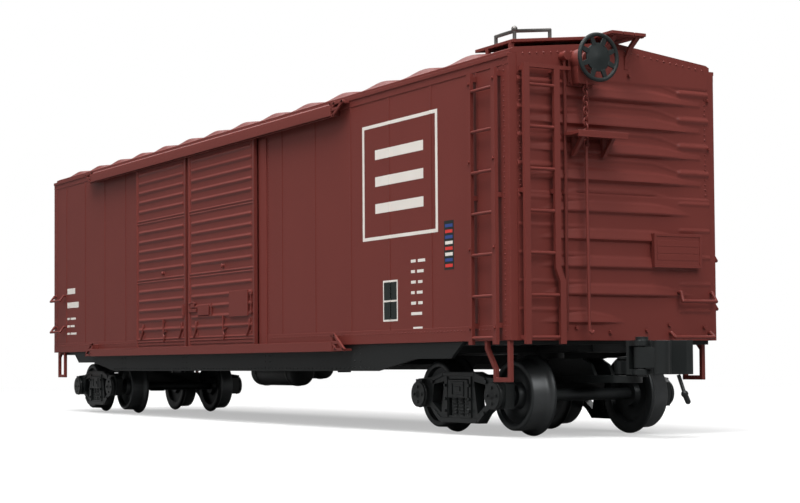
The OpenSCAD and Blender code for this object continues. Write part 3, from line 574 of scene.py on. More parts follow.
def hex_tree():
    """A hexagon bolt head, standing on every point."""
    tree, source = new_tree("bolt_heads", [("Radius", "NodeSocketFloat"),
                                           ("Height", "NodeSocketFloat"),
                                           ("Turn", "NodeSocketVector")])
    head = add(tree, "GeometryNodeMeshCone", {
        "Vertices": 6, "Radius Bottom": source.outputs["Radius"],
        "Radius Top": source.outputs["Radius"], "Depth": source.outputs["Height"]})
    placed = add(tree, "GeometryNodeInstanceOnPoints", {
        "Points": source.outputs["Geometry"], "Instance": head.outputs["Mesh"],
        "Rotation": source.outputs["Turn"]})
    close_tree(tree, source, placed.outputs[0], False)
    return tree


RIVETS, STRIPS, BOLTS = rivet_tree(), strip_tree(), hex_tree()


def grown(name, tree, points, settings, finish, body, bevel=0.0, stands_for=()):
    """Runs a tree over some points, in millimetres, and keeps the plain mesh as a piece."""
    seed_mesh = bpy.data.meshes.new(name + "_points")
    seed_mesh.from_pydata([tuple(c * MM for c in p) for p in points], [], [])
    seed = bpy.data.objects.new(name + "_points", seed_mesh)
    bpy.context.scene.collection.objects.link(seed)
    modifier = seed.modifiers.new("grow", "NODES")
    modifier.node_group = tree
    known = {item.name: item.identifier for item in tree.interface.items_tree
             if item.in_out == "INPUT"}
    for label, value in {**settings, "Finish": finish}.items():
        modifier[known[label]] = value
    view = bpy.context.evaluated_depsgraph_get()
    mesh = bpy.data.meshes.new_from_object(seed.evaluated_get(view))
    mesh.name = name
    bpy.data.objects.remove(seed)
    piece = bpy.data.objects.new(name, mesh)
    bpy.context.scene.collection.objects.link(piece)
    if bevel:
        edge = piece.modifiers.new("soft_edges", "BEVEL")
        edge.width = bevel * MM
        edge.segments = 2
    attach(piece, body)
    if stands_for:
        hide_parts(*([stands_for] if isinstance(stands_for, str) else stands_for))
    print(name, "copies:", len(points), "faces:", len(mesh.polygons))
    return piece


def turned(points):
    """The same points at the other end of the car."""
    return [(-x, -y, z) for x, y, z in points]


def row(start, end, gap):
    """Points on a straight line, about that far apart."""
    start, end = Vector(start), Vector(end)
    count = max(1, round((end - start).length / gap))
    return [tuple(start.lerp(end, i / count)) for i in range(count + 1)]


QUARTER = math.pi / 2
FACING_SIDE = (QUARTER, 0, 0)       # a head that looks out of a side
FACING_END = (0, QUARTER, 0)        # a head that looks out of an end
print("trees:", [t.name for t in (RIVETS, STRIPS, BOLTS)])

# %% [markdown]
# ## The ends
# Each end is pressed from steel in two halves. Long ribs bulge outwards: steep underneath,
# sloping gently on top, and tapering to points near the corners. Short round-ended ribs fill the
# space between their tips. One function gives the height of the metal at any place, and the two
# ends share it.

# %% Ribbed ends
RIB_PITCH = 6.65
LOWER_RIBS = [4.2 + RIB_PITCH * i for i in range(5)]
UPPER_RIBS = [38.4 + RIB_PITCH * i for i in range(4)]
END_SEAM = 35.3               # where the two halves of an end overlap
RIB_OUT = 1.15
TAPER_START, TAPER_END = 9.0, 26.5


def long_rib(y, rise, lowest):
    """One long rib, by how far above its lower edge the point is."""
    size = 1 - ease(abs(y), TAPER_START, TAPER_END)
    if lowest:
        size *= 1 - ease(y, -9, 5)
    if size <= 0:
        return 0.0
    rise /= 0.4 + 0.6 * size
    under = ease(rise, -0.6, 0.2)
    shoulder = 1 - 0.35 * min(1.0, max(0.0, (rise - 0.4) / 1.5))
    over = shoulder * (1 - ease(rise, 2.0, 3.5))
    second = 0.22 * ease(rise, 4.6, 4.95) * (1 - ease(rise, 5.2, 6.2))
    return RIB_OUT * (0.2 + 0.8 * size) * (under * over + second)


def short_rib(y, rise):
    """One short rib, by how far from its middle line the point is."""
    start, end = (9.2 if y < 0 else 19.0), 29.3
    side = abs(y)
    inside = min(side - start, end - side)
    half = 1.05
    if inside <= 0:
        return 0.0
    width = half * math.sqrt(max(0.0, 1 - max(0.0, 1 - inside / half) ** 2))
    if width < 0.05 or abs(rise) >= width:
        return 0.0
    return 0.5 * (0.5 + 0.5 * math.cos(math.pi * rise / width)) ** 0.6


def end_rise(y, z):
    """How far the end sheet stands out at a place, in millimetres over the flat sheet."""
    up = z - SILL
    out = 0.0
    for foot in LOWER_RIBS + UPPER_RIBS:
        out = max(out, long_rib(y, up - foot, foot == LOWER_RIBS[0]),
                  short_rib(y, up - foot - 3.05))
    if up < END_SEAM:
        out = max(out, 0.3)
    if up > 62.4:
        out = 0.22 * ease(up, 62.4, 62.8)
    return max(0.02, out)


def roof_line(y):
    """Height of the underside of the roof sheet."""
    return EAVE + 3.5 * (1 - abs(y) / 29.95)


def end_place(y, v, h):
    """A point of the front end. v runs from sill to eaves, and the top follows the roof."""
    lift = (roof_line(y) - EAVE) * ease(v, EAVE - 4, EAVE) if abs(y) < INNER else 0
    return (END + h, y, v + lift)


end_columns = steps(-INNER, INNER, 0.45)
end_rows = steps(SILL, EAVE, 0.27)
front_sheet = pressed_sheet(end_columns, end_rows, end_rise, end_place, -2.0)
make_piece("brake_end_pressing", front_sheet, red_lacquer, "car_body",
           "brake_end", sharp=50)
make_piece("plain_end_pressing", front_sheet.half_turned(), red_lacquer, "car_body",
           "plain_end", sharp=50)
print("end pressing points:", len(front_sheet.points))

# %% [markdown]
# Rivets run up each corner, along the bottom of the end and under its top edge. They are only six
# tenths of a millimetre across, so eight-sided heads are plenty.

# %% Rivets of the ends
end_rivets = (row((END + 0.02, -INNER + 0.9, SILL + 1.2), (END + 0.02, -INNER + 0.9, EAVE - 1.0),
                  1.25)
              + row((END + 0.02, INNER - 0.9, SILL + 1.2), (END + 0.02, INNER - 0.9, EAVE - 1.0),
                    1.25)
              + row((END + 0.04, -27, SILL + 0.9), (END + 0.04, 27, SILL + 0.9), 2.2)
              + row((END + 0.2, -27, EAVE + 0.1), (END + 0.2, -1, EAVE + 3.0), 2.0)
              + row((END + 0.2, 1, EAVE + 3.0), (END + 0.2, 27, EAVE + 0.1), 2.0))
for name, points in (("brake_end_rivets", end_rivets), ("plain_end_rivets", turned(end_rivets))):
    grown(name, RIVETS, points, {"Radius": 0.3 * MM, "Turn": FACING_END, "Flatness": 0.65},
          red_lacquer, "car_body")

# %% [markdown]
# ## The sides
# A side is welded from plates that overlap at upright seams. On the model each seam is a thin
# raised strip, and so are the sill band, the band under the eaves, the corner plate and the posts
# beside the doorway. The flat sheet itself is the CAD solid with paint on it.

# %% Side sheets, seams and bands
SEAM_PITCH = 21.3
BAND_TOP = SILL + 3.6
for node in ("right_side", "left_side"):
    refinish(node, red_lacquer)

door_x0, door_x1 = -72.5, 33.0
seam_places = [SEAM_PITCH * i for i in range(-7, 8)
               if not door_x0 - 2 < SEAM_PITCH * i < door_x1 + 2]
seams = [(x, -SIDE, (BAND_TOP + EAVE - 2.6) / 2) for x in seam_places]
seam_size = (0.8 * MM, 0.3 * MM, (EAVE - 2.6 - BAND_TOP) * MM)
for name, points in (("right_side_seams", seams), ("left_side_seams", turned(seams))):
    grown(name, STRIPS, points, {"Size": seam_size}, red_lacquer, "car_body",
          bevel=0.08)

bands = Shape()
for a, b in ((-END + 0.05, door_x0 + 1.2), (door_x1 - 1.2, END - 0.05)):
    bands.block((a, -SIDE - 0.14, SILL + 0.02), (b, -SIDE + 0.1, BAND_TOP))
    bands.block((a, -SIDE - 0.16, EAVE - 2.6), (b, -SIDE + 0.1, EAVE - 0.02))
for s in (-1, 1):
    bands.block((s * (END - 3.9), -SIDE - 0.12, BAND_TOP), (s * (END - 0.04), -SIDE + 0.1,
                                                           EAVE - 2.6))
# posts: a broad one on the right of the doorway, a narrow one on its left
bands.prism([(27.6, -SIDE + 0.1), (27.6, -SIDE - 0.48), (28.2, -SIDE - 0.55),
             (32.0, -SIDE - 0.55), (32.6, -SIDE - 0.3), (32.6, -SIDE + 0.1)], "z",
            SILL + 0.1, EAVE - 4.8)
bands.prism([(-72.0, -SIDE + 0.1), (-72.0, -SIDE - 0.4), (-71.0, -SIDE - 0.55),
             (-70.9, -SIDE + 0.1)], "z", SILL + 0.1, EAVE - 4.8)
make_piece("right_side_bands", bands, red_lacquer, "car_body", bevel=0.08)
make_piece("left_side_bands", bands.half_turned(), red_lacquer, "car_body",
           bevel=0.08)

side_rivets = []
for s in (-1, 1):
    side_rivets += row((s * (END - 2.2), -SIDE - 0.1, SILL + 1.0),
                       (s * (END - 2.2), -SIDE - 0.1, EAVE - 1.5), 1.2)
side_rivets += row((33.5, -SIDE, SILL + 4.4), (33.5, -SIDE, EAVE - 6), 1.15)
side_rivets += row((-END + 4, -SIDE - 0.1, SILL + 2.6), (door_x0, -SIDE - 0.1, SILL + 2.6), 1.6)
side_rivets += row((door_x1 + 3, -SIDE - 0.1, SILL + 2.6), (END - 4, -SIDE - 0.1, SILL + 2.6), 1.6)
for name, points in (("right_side_rivets", side_rivets), ("left_side_rivets",
                                                          turned(side_rivets))):
    grown(name, RIVETS, points, {"Radius": 0.24 * MM, "Turn": FACING_SIDE, "Flatness": 0.65},
          red_lacquer, "car_body")

# %% [markdown]
# ## The roof
# The roof is pressed too: fourteen raised panels on each slope, with flat seams between them that
# carry the running board. From low down only their ends show, as a row of soft waves along the
# eaves. A narrow drip strip hangs below the edge.

# %% Roof sheet
ROOF_PITCH, ROOF_EDGE, ROOF_END = 21.8, 29.95, 163.0
PANEL_RISE = 1.2


def roof_rise(x, y):
    """Thickness of the roof sheet with its raised panels."""
    middle = (math.floor(x / ROOF_PITCH) + 0.5) * ROOF_PITCH
    along = bump(x, middle, 9.4) ** 0.55
    across = (1 - ease(abs(y), 27.9, 29.6)) * ease(abs(y), 3.5, 8.0)
    if abs(middle) > 6.6 * ROOF_PITCH + 1:
        along = 0.0
    drip = -0.35 * (1 - ease(ROOF_EDGE - abs(y), 0.0, 1.1))
    return 1.5 + drip + PANEL_RISE * along * across


def roof_place(x, y, h):
    """A point of the roof, h above its underside."""
    return (x, y, roof_line(y) + h)


roof_xs = steps(-ROOF_END, ROOF_END, 0.8)
roof_ys = ([-ROOF_EDGE, -29.7, -29.3, -28.9, -28.4, -28.0] + steps(-27.4, 27.4, 1.6)
           + [28.0, 28.4, 28.9, 29.3, 29.7, ROOF_EDGE])
roof_ys = sorted(set(roof_ys) | {0.0})
roof = Shape()
roof.points = [roof_place(x, y, roof_rise(x, y)) for x in roof_xs for y in roof_ys]
rows_x, rows_y = len(roof_xs), len(roof_ys)
roof.faces = [[i * rows_y + j, (i + 1) * rows_y + j, (i + 1) * rows_y + j + 1, i * rows_y + j + 1]
              for i in range(rows_x - 1) for j in range(rows_y - 1)]
under = len(roof.points)
roof.points += [roof_place(x, y, 0.0) for x in roof_xs for y in (-ROOF_EDGE, 0.0, ROOF_EDGE)]
for i in range(rows_x - 1):
    a, b = under + 3 * i, under + 3 * (i + 1)
    roof.faces += [[a, a + 1, b + 1, b], [a + 1, a + 2, b + 2, b + 1],
                   [a, b, (i + 1) * rows_y, i * rows_y],
                   [a + 2, i * rows_y + rows_y - 1, (i + 1) * rows_y + rows_y - 1, b + 2]]
for i in (0, rows_x - 1):
    rim = [i * rows_y + j for j in range(rows_y)] + [under + 3 * i + k for k in (2, 1, 0)]
    roof.faces.append(rim)
roof.marks = [0] * len(roof.faces)
make_piece("roof_pressing", roof, red_lacquer, "car_body", "roof", sharp=40)
print("roof points:", len(roof.points))

# %% [markdown]
# A drip rail runs along each eave, just under the roof's edge, with a dark line of shadow between
# the two. It is a thin angle strip.

# %% Eave strips
eaves = Shape()
eaves.prism([(-SIDE - 0.45, EAVE + 0.15), (-SIDE - 0.45, EAVE - 0.75), (-SIDE - 0.1, EAVE - 0.9),
             (-SIDE + 0.2, EAVE - 0.9), (-SIDE + 0.2, EAVE), (-29.8, EAVE),
             (-29.8, EAVE + 0.15)], "x", -END + 0.2, END - 0.2)
eaves.both_ends()
make_piece("eave_strips", eaves, red_lacquer, "car_body", bevel=0.08)

# %% [markdown]
# ## The doors
# Both doors of a side are pressed steel too: three panels, one above the other, each with five
# level ribs, and a flat border all round. The same function shapes both widths. The back of the
# real pressing is thin, so each leaf hangs a little clear of the side.

# %% Pressed doors
DOOR_FACE = SIDE + 1.55       # flat of a door, from the middle of the car
PANEL_STEP, PANEL_FOOT, RIB_STEP = 20.6, 3.2, 3.32
DOOR_SEAMS = [PANEL_FOOT + PANEL_STEP * i for i in range(4)]
DOOR_RIBS = [seam + 3.72 + RIB_STEP * i for seam in DOOR_SEAMS[:3] for i in range(5)]


def door_rise(left, right):
    """The rule for a door that spans left to right."""
    def rise(x, z):
        up = z - SILL
        edge = min(x - left, right - x)
        out = 0.0
        for rib in DOOR_RIBS:
            if abs(up - rib) < 0.85:
                run = ease(edge, 1.9, 3.0)
                out = max(out, 0.45 * run * bump(up, rib, 0.85))
        for seam in DOOR_SEAMS:
            for line in (seam - 0.45, seam + 0.45):
                if abs(up - line) < 0.45:
                    out = max(out, 0.3 * ease(edge, 0.5, 1.4) * bump(up, line, 0.45))
        border = 0.35 * (1 - ease(edge, 1.15, 1.5))
        return max(out, border)
    return rise


def door_leaf(node, x_sign, name, body):
    """One door, drawn for the right side and turned to the left side where x_sign is -1."""
    low, high = corner(node)
    left, right = sorted((low.x * x_sign, high.x * x_sign))
    xs = ([left, left + 0.15, left + 1.1, left + 1.3, left + 1.5]
          + steps(left + 1.9, left + 3.1, 0.3) + steps(left + 7, right - 7, 9)
          + steps(right - 3.1, right - 1.9, 0.3)
          + [right - 1.5, right - 1.3, right - 1.1, right - 0.15, right])
    zs = steps(low.z, high.z, 0.16)
    leaf = pressed_sheet(xs, zs, door_rise(left, right),
                         lambda x, z, h: (x, -DOOR_FACE + 0.15 - h, z), -0.75)
    if x_sign < 0:
        leaf = leaf.half_turned()
    return make_piece(name, leaf, red_lacquer, body, node, sharp=50)


DOORS = (("right_main_door", 1, "right_main_door_panel"),
         ("right_aux_door", 1, "right_aux_door_panel"),
         ("left_main_door", -1, "left_main_door_panel"),
         ("left_aux_door", -1, "left_aux_door_panel"))
for node, sign, body in DOORS:
    door_leaf(node, sign, node + "_leaf", body)
print("doors:", len(DOORS), "ribs on each:", len(DOOR_RIBS))

# %% [markdown]
# Each door carries its own fittings: two bottom levers with a locking bar between them, a lift
# knob, and on the main door two blank notice boards and the latch. They are small castings,
# moulded on the leaf, so they ride on the same body.

# %% Door fittings
FACE_Y = -DOOR_FACE + 0.2


def hook(shape, x, foot, top, lean):
    """A bottom lever: a curved bar with a boss at its head."""
    y = FACE_Y - 0.38
    shape.tube([(x, y, SILL + top), (x - 0.3 * lean, y, SILL + (foot + top) / 2 + 0.6),
                (x + 0.9 * lean, y, SILL + foot + 1.2), (x + 1.9 * lean, y, SILL + foot)],
               0.75, 8, bend=1.2)
    shape.block((x - 0.7, FACE_Y - 0.35, SILL + top - 0.9),
                (x + 0.7, FACE_Y + 0.1, SILL + top + 0.3))
    shape.block((x - 1.0, FACE_Y - 0.25, SILL + foot + 0.3), (x + 1.2, FACE_Y + 0.1,
                                                             SILL + foot + 1.5))


def locking_bar(shape, x):
    """The tall upright bar in the middle of a door's foot, with its handle."""
    y = FACE_Y - 0.45
    shape.tube([(x, y, SILL + 10.2), (x, y, SILL + 5.2), (x + 0.9, y, SILL + 4.2),
                (x + 0.4, y, SILL + 2.6)], 0.6, 8, bend=0.8)
    shape.tube([(x, y, SILL + 5.6), (x + 2.4, y, SILL + 6.2)], 0.5, 8)
    for z in (9.2, 6.6, 4.4):
        shape.block((x - 0.8, FACE_Y - 0.35, SILL + z - 0.35), (x + 0.8, FACE_Y + 0.1,
                                                              SILL + z + 0.35))


def fittings(left, right, bar_x, main):
    """All the fittings of one door."""
    shape = Shape()
    hook(shape, left + 6.5, 3.6, 8.6, -1)
    locking_bar(shape, bar_x)
    hook(shape, right - 3.8, 3.6, 8.6, -1)
    shape.turn([(0.0, -1.1), (0.45, -1.05), (0.75, -0.7), (0.5, -0.3), (1.0, 0.0), (1.0, 0.3),
                (0.0, 0.3)], (bar_x - 0.2, FACE_Y, SILL + 25.8), "y", 16)
    if main:
        shape.block((9.0, FACE_Y - 0.75, SILL + 9.6), (22.6, FACE_Y - 0.25, SILL + 17.6))
        shape.block((10, FACE_Y - 0.3, SILL + 10.4), (21.6, FACE_Y + 0.1, SILL + 16.8))
        for z in (10.4, 13.2, 16.0):
            shape.block((23.4, FACE_Y - 0.6, SILL + z), (25.2, FACE_Y + 0.1, SILL + z + 0.7))
        shape.block((24.2, FACE_Y - 0.55, SILL + 10.0), (24.8, FACE_Y + 0.1, SILL + 17.0))
        shape.block((-15.6, FACE_Y - 0.7, SILL + 10.7), (-6.8, FACE_Y - 0.2, SILL + 14.0))
        shape.block((-14.8, FACE_Y - 0.3, SILL + 11.2), (-7.6, FACE_Y + 0.1, SILL + 13.5))
        shape.block((-5.8, FACE_Y - 0.55, SILL + 10.4), (-4.9, FACE_Y + 0.1, SILL + 14.3))
        # latch, reaching back over the gap to the other door
        shape.block((-23.2, FACE_Y - 0.6, SILL + 11.9), (-17.0, FACE_Y + 0.1, SILL + 13.0))
        shape.block((-21.4, FACE_Y - 0.7, SILL + 13.4), (-18.4, FACE_Y + 0.1, SILL + 14.6))
        shape.tube([(-23.0, FACE_Y - 0.45, SILL + 14.8), (-20.0, FACE_Y - 0.55, SILL + 15.2),
                    (-17.4, FACE_Y - 0.45, SILL + 14.6)], 0.5, 8, bend=0.8)
    else:
        shape.block((-29.4, FACE_Y - 0.55, SILL + 11.2), (-26.5, FACE_Y + 0.1, SILL + 14.2))
        shape.tube([(-27.6, FACE_Y - 0.6, SILL + 10.6), (-27.6, FACE_Y - 0.6, SILL + 14.8)],
                   0.6, 8)
    # flat foot strip with its guides
    shape.block((left + 1.6, FACE_Y - 0.2, SILL + 1.5), (right - 1.6, FACE_Y + 0.1, SILL + 2.3))
    return shape


for node, sign, body in DOORS:
    low, high = corner(node)
    left, right = sorted((low.x * sign, high.x * sign))
    main = "main" in node
    kit = fittings(left, right, 4.0 if main else -45.2, main)
    kit = kit if sign > 0 else kit.half_turned()
    make_piece(node + "_fittings", kit, red_lacquer, body, bevel=0.08)

# %% [markdown]
# ## The door tracks
# The doors hang from a hooded rail above and slide in a channel below. The hood has a chamfered
# top edge and a bead along its foot, and each rail ends in a three-cornered gusset. The gusset's
# openings are real: it is drawn as thin bars round them, with a web behind.

# %% Door tracks
track_low, track_high = corner("right_door_tracks")
TRACK_OUT = -track_low.y
HOOD_TOP, HOOD_FOOT = EAVE - 0.6, EAVE - 4.6
SHELF_Z = track_low.z

tracks = Shape()
x0, x1 = track_low.x, track_high.x
tracks.prism([(-SIDE + 0.1, HOOD_TOP), (-TRACK_OUT + 0.9, HOOD_TOP),
              (-TRACK_OUT + 0.1, HOOD_TOP - 0.5), (-TRACK_OUT, HOOD_TOP - 1.4),
              (-TRACK_OUT, HOOD_FOOT), (-TRACK_OUT + 0.5, HOOD_FOOT),
              (-TRACK_OUT + 0.5, HOOD_TOP - 1.0), (-SIDE + 0.1, HOOD_TOP - 1.0)], "x",
             x0 + 0.6, x1 - 0.6)
tracks.block((x0 + 0.6, -TRACK_OUT, HOOD_FOOT - 0.02), (x1 - 0.6, -TRACK_OUT + 0.6,
                                                             HOOD_FOOT + 0.5))
tracks.prism([(-SIDE + 0.1, SHELF_Z + 1.6), (-SIDE + 0.1, SHELF_Z), (-TRACK_OUT, SHELF_Z),
              (-TRACK_OUT, SHELF_Z + 2.7), (-TRACK_OUT + 0.5, SHELF_Z + 2.7),
              (-TRACK_OUT + 0.5, SHELF_Z + 1.6)], "x", x0 + 0.6, x1 - 0.6)


def gusset(shape, x, way, z_long, z_point):
    """A three-cornered end plate, drawn as bars round its openings."""
    tip = x + 7.0 * way
    y_face, y_back = -TRACK_OUT + 0.1, -TRACK_OUT + 0.7
    rails = [((x, z_long), (tip, z_long)), ((tip, z_long), (x + 1.6 * way, z_point)),
             ((x + 1.6 * way, z_point), (x, z_point)), ((x, z_point), (x, z_long)),
             ((x + 2.4 * way, z_long), (x + 0.4 * way, (z_long + z_point) / 2)),
             ((x, (z_long + z_point) / 2), (x + 3.4 * way, (z_long + z_point) / 2))]
    for (xa, za), (xb, zb) in rails:
        run = Vector((xb - xa, zb - za)).normalized() * 0.4
        side = Vector((-run.y, run.x))
        outline = [(xa - run.x + side.x, za - run.y + side.y), (xb + run.x + side.x,
                                                               zb + run.y + side.y),
                   (xb + run.x - side.x, zb + run.y - side.y), (xa - run.x - side.x,
                                                               za - run.y - side.y)]
        shape.prism(outline, "y", y_face, y_back)
    shape.block((min(x, x + 0.9 * way), -TRACK_OUT + 0.3, min(z_long, z_point)),
                (max(x, x + 0.9 * way), -SIDE, max(z_long, z_point)))
    shape.block((min(x, tip), -TRACK_OUT + 0.3, z_long - 0.4), (max(x, tip), -SIDE, z_long + 0.2))


gusset(tracks, x1 - 1.2, 1, HOOD_TOP - 0.3, HOOD_FOOT + 0.5)
gusset(tracks, x0 + 1.2, -1, HOOD_TOP - 0.3, HOOD_FOOT + 0.5)
gusset(tracks, x1 - 1.2, 1, SHELF_Z + 0.5, SHELF_Z + 4.4)
gusset(tracks, x0 + 1.2, -1, SHELF_Z + 0.5, SHELF_Z + 4.4)
make_piece("right_door_rails", tracks, red_lacquer, "car_body",
           "right_door_tracks", bevel=0.08)
make_piece("left_door_rails", tracks.half_turned(), red_lacquer, "car_body",
           "left_door_tracks", bevel=0.08)
track_bolts = row((x0 + 6, -TRACK_OUT + 0.1, HOOD_TOP - 2.4),
                  (x1 - 6, -TRACK_OUT + 0.1, HOOD_TOP - 2.4), 7.1)
for name, points in (("right_rail_rivets", track_bolts), ("left_rail_rivets",
                                                          turned(track_bolts))):
    grown(name, RIVETS, points, {"Radius": 0.3 * MM, "Turn": FACING_SIDE, "Flatness": 0.5},
          red_lacquer, "car_body")

# %% [markdown]
# ## Floor and roof walk
# The floor is scribed wood: planks across the car with a fine gap between them. The roof walk is
# three long boards side by side on cross cleats, one cleat for each seam of the roof, and each
# end of it is held up by two bent steel straps from the end sheet.

# %% Floor planks and roof walk
floor_low, floor_high = corner("floor")
floor_middle = (floor_low + floor_high) / 2
floor_length = floor_high.x - floor_low.x
PLANK = floor_length / round(floor_length / 3.2)
planks = [(floor_low.x + PLANK * (i + 0.5), 0, floor_middle.z)
          for i in range(round(floor_length / PLANK))]
plank_size = ((PLANK - 0.12) * MM, (floor_high.y - floor_low.y) * MM,
              (floor_high.z - floor_low.z) * MM)
grown("floor_planks", STRIPS, planks, {"Size": plank_size}, scribed_pine, "car_body",
      bevel=0.1, stands_for="floor")

walk_high = corner("running_board")[1]
BOARD_Z, BOARD_TOP, BOARD_END = walk_high.z - 0.8, walk_high.z, walk_high.x
walk = Shape()
for y0, y1 in ((-5.1, -1.85), (-1.6, 1.6), (1.85, 5.1)):
    walk.block((-BOARD_END, y0, BOARD_Z), (BOARD_END, y1, BOARD_TOP))
for k in range(-7, 8):
    x = k * ROOF_PITCH
    walk.prism([(-4.9, roof_line(4.9) + 1.4), (0, roof_line(0) + 1.4), (4.9, roof_line(4.9) + 1.4),
                (4.9, BOARD_Z + 0.05), (-4.9, BOARD_Z + 0.05)], "x", x - 1.1, x + 1.1)
for s in (-1, 1):
    walk.block((s * (BOARD_END - 1.6), -4.9, BOARD_Z - 0.25), (s * (BOARD_END - 0.5), 4.9,
                                                              BOARD_Z + 0.1))
    for y in (-3.4, 3.4):
        walk.prism([(s * (END + 0.02), SILL + 66.0), (s * (END + 0.4), SILL + 66.0),
                    (s * (END + 0.7), SILL + 68.6), (s * (END + 2.2), SILL + 70.9),
                    (s * (BOARD_END - 0.9), BOARD_Z - 0.3),
                    (s * (BOARD_END - 0.9), BOARD_Z + 0.02),
                    (s * (BOARD_END - 1.9), BOARD_Z + 0.02), (s * (END + 1.8), SILL + 71.5),
                    (s * (END + 0.2), SILL + 69.0), (s * (END + 0.02), SILL + 68.2)], "y",
                   y - 0.65, y + 0.65)
make_piece("roof_walk_boards", walk, red_lacquer, "car_body", "running_board",
           bevel=0.1)
walk_nails = [(x + dx, y, BOARD_TOP - 0.02) for k in range(-7, 8) for x in (k * ROOF_PITCH,)
              for dx in (-0.6, 0.6) for y in (-4.3, -2.7, -0.9, 0.9, 2.7, 4.3)]
grown("roof_walk_nails", RIVETS, [(x, y, z - 0.06) for x, y, z in walk_nails],
      {"Radius": 0.22 * MM, "Turn": (0, 0, 0), "Flatness": 0.35}, red_lacquer, "car_body")
softened("lateral_boards", red_lacquer, "car_body", 0.12)
softened("corner_handrails", drawn_wire, "car_body", 0.0)
print("handrails reach", [round(v, 1) for v in corner("corner_handrails")[1]])

# %% [markdown]
# ## Ladders, steps and grab irons
# Stiles are flat bars and rungs are round wire, as on the prototype. The CAD has those forms
# already, so they get a soft edge here, and bolt heads where each one is fixed to the sheet.

# %% Ladders, steps and grab irons
softened("side_ladders", red_lacquer, "car_body", 0.1)
softened("end_ladders", red_lacquer, "car_body", 0.1)
softened("grab_irons", red_lacquer, "car_body", 0.1)
softened("sill_steps", red_lacquer, "car_body", 0.12)

ladder_bolts = []
for x in (148.7, 159.3):
    for up in (3.0, 22.0, 43.0, 62.0):
        ladder_bolts.append((x, -SIDE - 2.02, SILL + up))
for name, points in (("right_ladder_bolts", ladder_bolts),
                     ("left_ladder_bolts", turned(ladder_bolts))):
    grown(name, BOLTS, points, {"Radius": 0.42 * MM, "Height": 0.35 * MM, "Turn": FACING_SIDE},
          red_lacquer, "car_body")
end_bolts = [(END + 0.45, y, SILL + up) for y, up in
             ((15.5, 3.8), (26.5, 3.3), (-2.5, 2.0), (-12.5, 3.0), (8.5, 2.4), (28.6, 60.0),
              (28.6, 48.0), (-1.5, 64.6), (4.0, 64.6))]
for name, points in (("brake_end_bolts", end_bolts), ("plain_end_bolts", turned(end_bolts))):
    grown(name, BOLTS, points, {"Radius": 0.45 * MM, "Height": 0.5 * MM, "Turn": FACING_END},
          red_lacquer, "car_body")

# %% [markdown]
# ## Hand brake
# The handwheel is cast: a round rim, a flat hub and eight spokes. The rim is a small circle swept
# round the hub, and one spoke is worked out and then drawn at eight angles.

# %% Handwheel
wheel_low, wheel_high = corner("brake_wheel")
housing_low, housing_high = corner("brake_housing")
WHEEL_R = (wheel_high.y - wheel_low.y) / 2
BRAKE_Y, BRAKE_Z = (wheel_high.y + wheel_low.y) / 2, (wheel_high.z + wheel_low.z) / 2
PLANE = wheel_high.x - 0.5

handwheel = Shape()
rim = [(WHEEL_R - 0.5 + 0.5 * math.cos(a), 0.5 * math.sin(a))
       for a in [math.tau * k / 12 for k in range(12)]]
handwheel.turn(rim, (PLANE, BRAKE_Y, BRAKE_Z), "x", 64)
handwheel.turn([(0, 0.3), (0.9, 0.3), (1.2, 0.15), (3.1, 0.15), (3.4, 0.05), (3.4, -0.35),
                (1.2, -0.45), (0.8, -1.2), (0.8, housing_high.x - PLANE), (0, housing_high.x
                                                                          - PLANE)],
               (PLANE, BRAKE_Y, BRAKE_Z), "x", 48)
for k in range(8):
    around = math.tau * (k + 0.5) / 8
    out = Vector((0, math.cos(around), math.sin(around)))
    wide = Vector((0, -math.sin(around), math.cos(around)))
    middle = Vector((PLANE, BRAKE_Y, BRAKE_Z))
    corners = []
    for reach, half in ((3.0, 0.66), (WHEEL_R - 0.5, 0.5)):
        for dx in (-0.25, 0.2):
            for side in (-1, 1):
                corners.append(middle + out * reach + wide * side * half + Vector((dx, 0, 0)))
    handwheel.add(corners, [(0, 1, 3, 2), (4, 6, 7, 5), (0, 4, 5, 1), (2, 3, 7, 6), (0, 2, 6, 4),
                            (1, 5, 7, 3)])
make_piece("brake_handwheel", handwheel, handwheel_enamel, "car_body",
           "brake_wheel", bevel=0.06)

# %% [markdown]
# The housing is a squat casting with a round gear cover and four bolts. It stays in the same place
# as its CAD solid.

# %% Gear housing
housing = Shape()
housing.prism([(BRAKE_Y - 3.6, housing_low.z), (BRAKE_Y + 3.6, housing_low.z),
               (BRAKE_Y + 3.6, BRAKE_Z + 1.6), (BRAKE_Y + 2.8, BRAKE_Z + 2.4),
               (BRAKE_Y - 2.8, BRAKE_Z + 2.4), (BRAKE_Y - 3.6, BRAKE_Z + 1.6)], "x", END,
              END + 1.0)
housing.turn([(0, 0), (3.1, 0), (3.1, 3.6), (2.8, 4.2), (2.2, housing_high.x - END - 0.3),
              (1.9, housing_high.x - END), (0, housing_high.x - END)], (END, BRAKE_Y, BRAKE_Z),
             "x", 40)
housing.prism([(BRAKE_Y - 2.4, housing_low.z + 0.3), (BRAKE_Y + 2.4, housing_low.z + 0.3),
               (BRAKE_Y + 2.8, BRAKE_Z - 1), (BRAKE_Y + 2.6, BRAKE_Z + 0.4),
               (BRAKE_Y - 2.6, BRAKE_Z + 0.4), (BRAKE_Y - 2.8, BRAKE_Z - 1)], "x", END + 0.6,
              housing_high.x - 1.0)
make_piece("brake_gear_housing", housing, red_lacquer, "car_body",
           "brake_housing", bevel=0.15)
grown("brake_housing_bolts", BOLTS,
      [(END + 1.1, BRAKE_Y + y, BRAKE_Z + z) for y, z in ((-3.1, 1.4), (3.1, 1.4), (-3.1, -5.2),
                                                        (3.1, -5.2))],
      {"Radius": 0.38 * MM, "Height": 0.4 * MM, "Turn": FACING_END}, red_lacquer, "car_body")

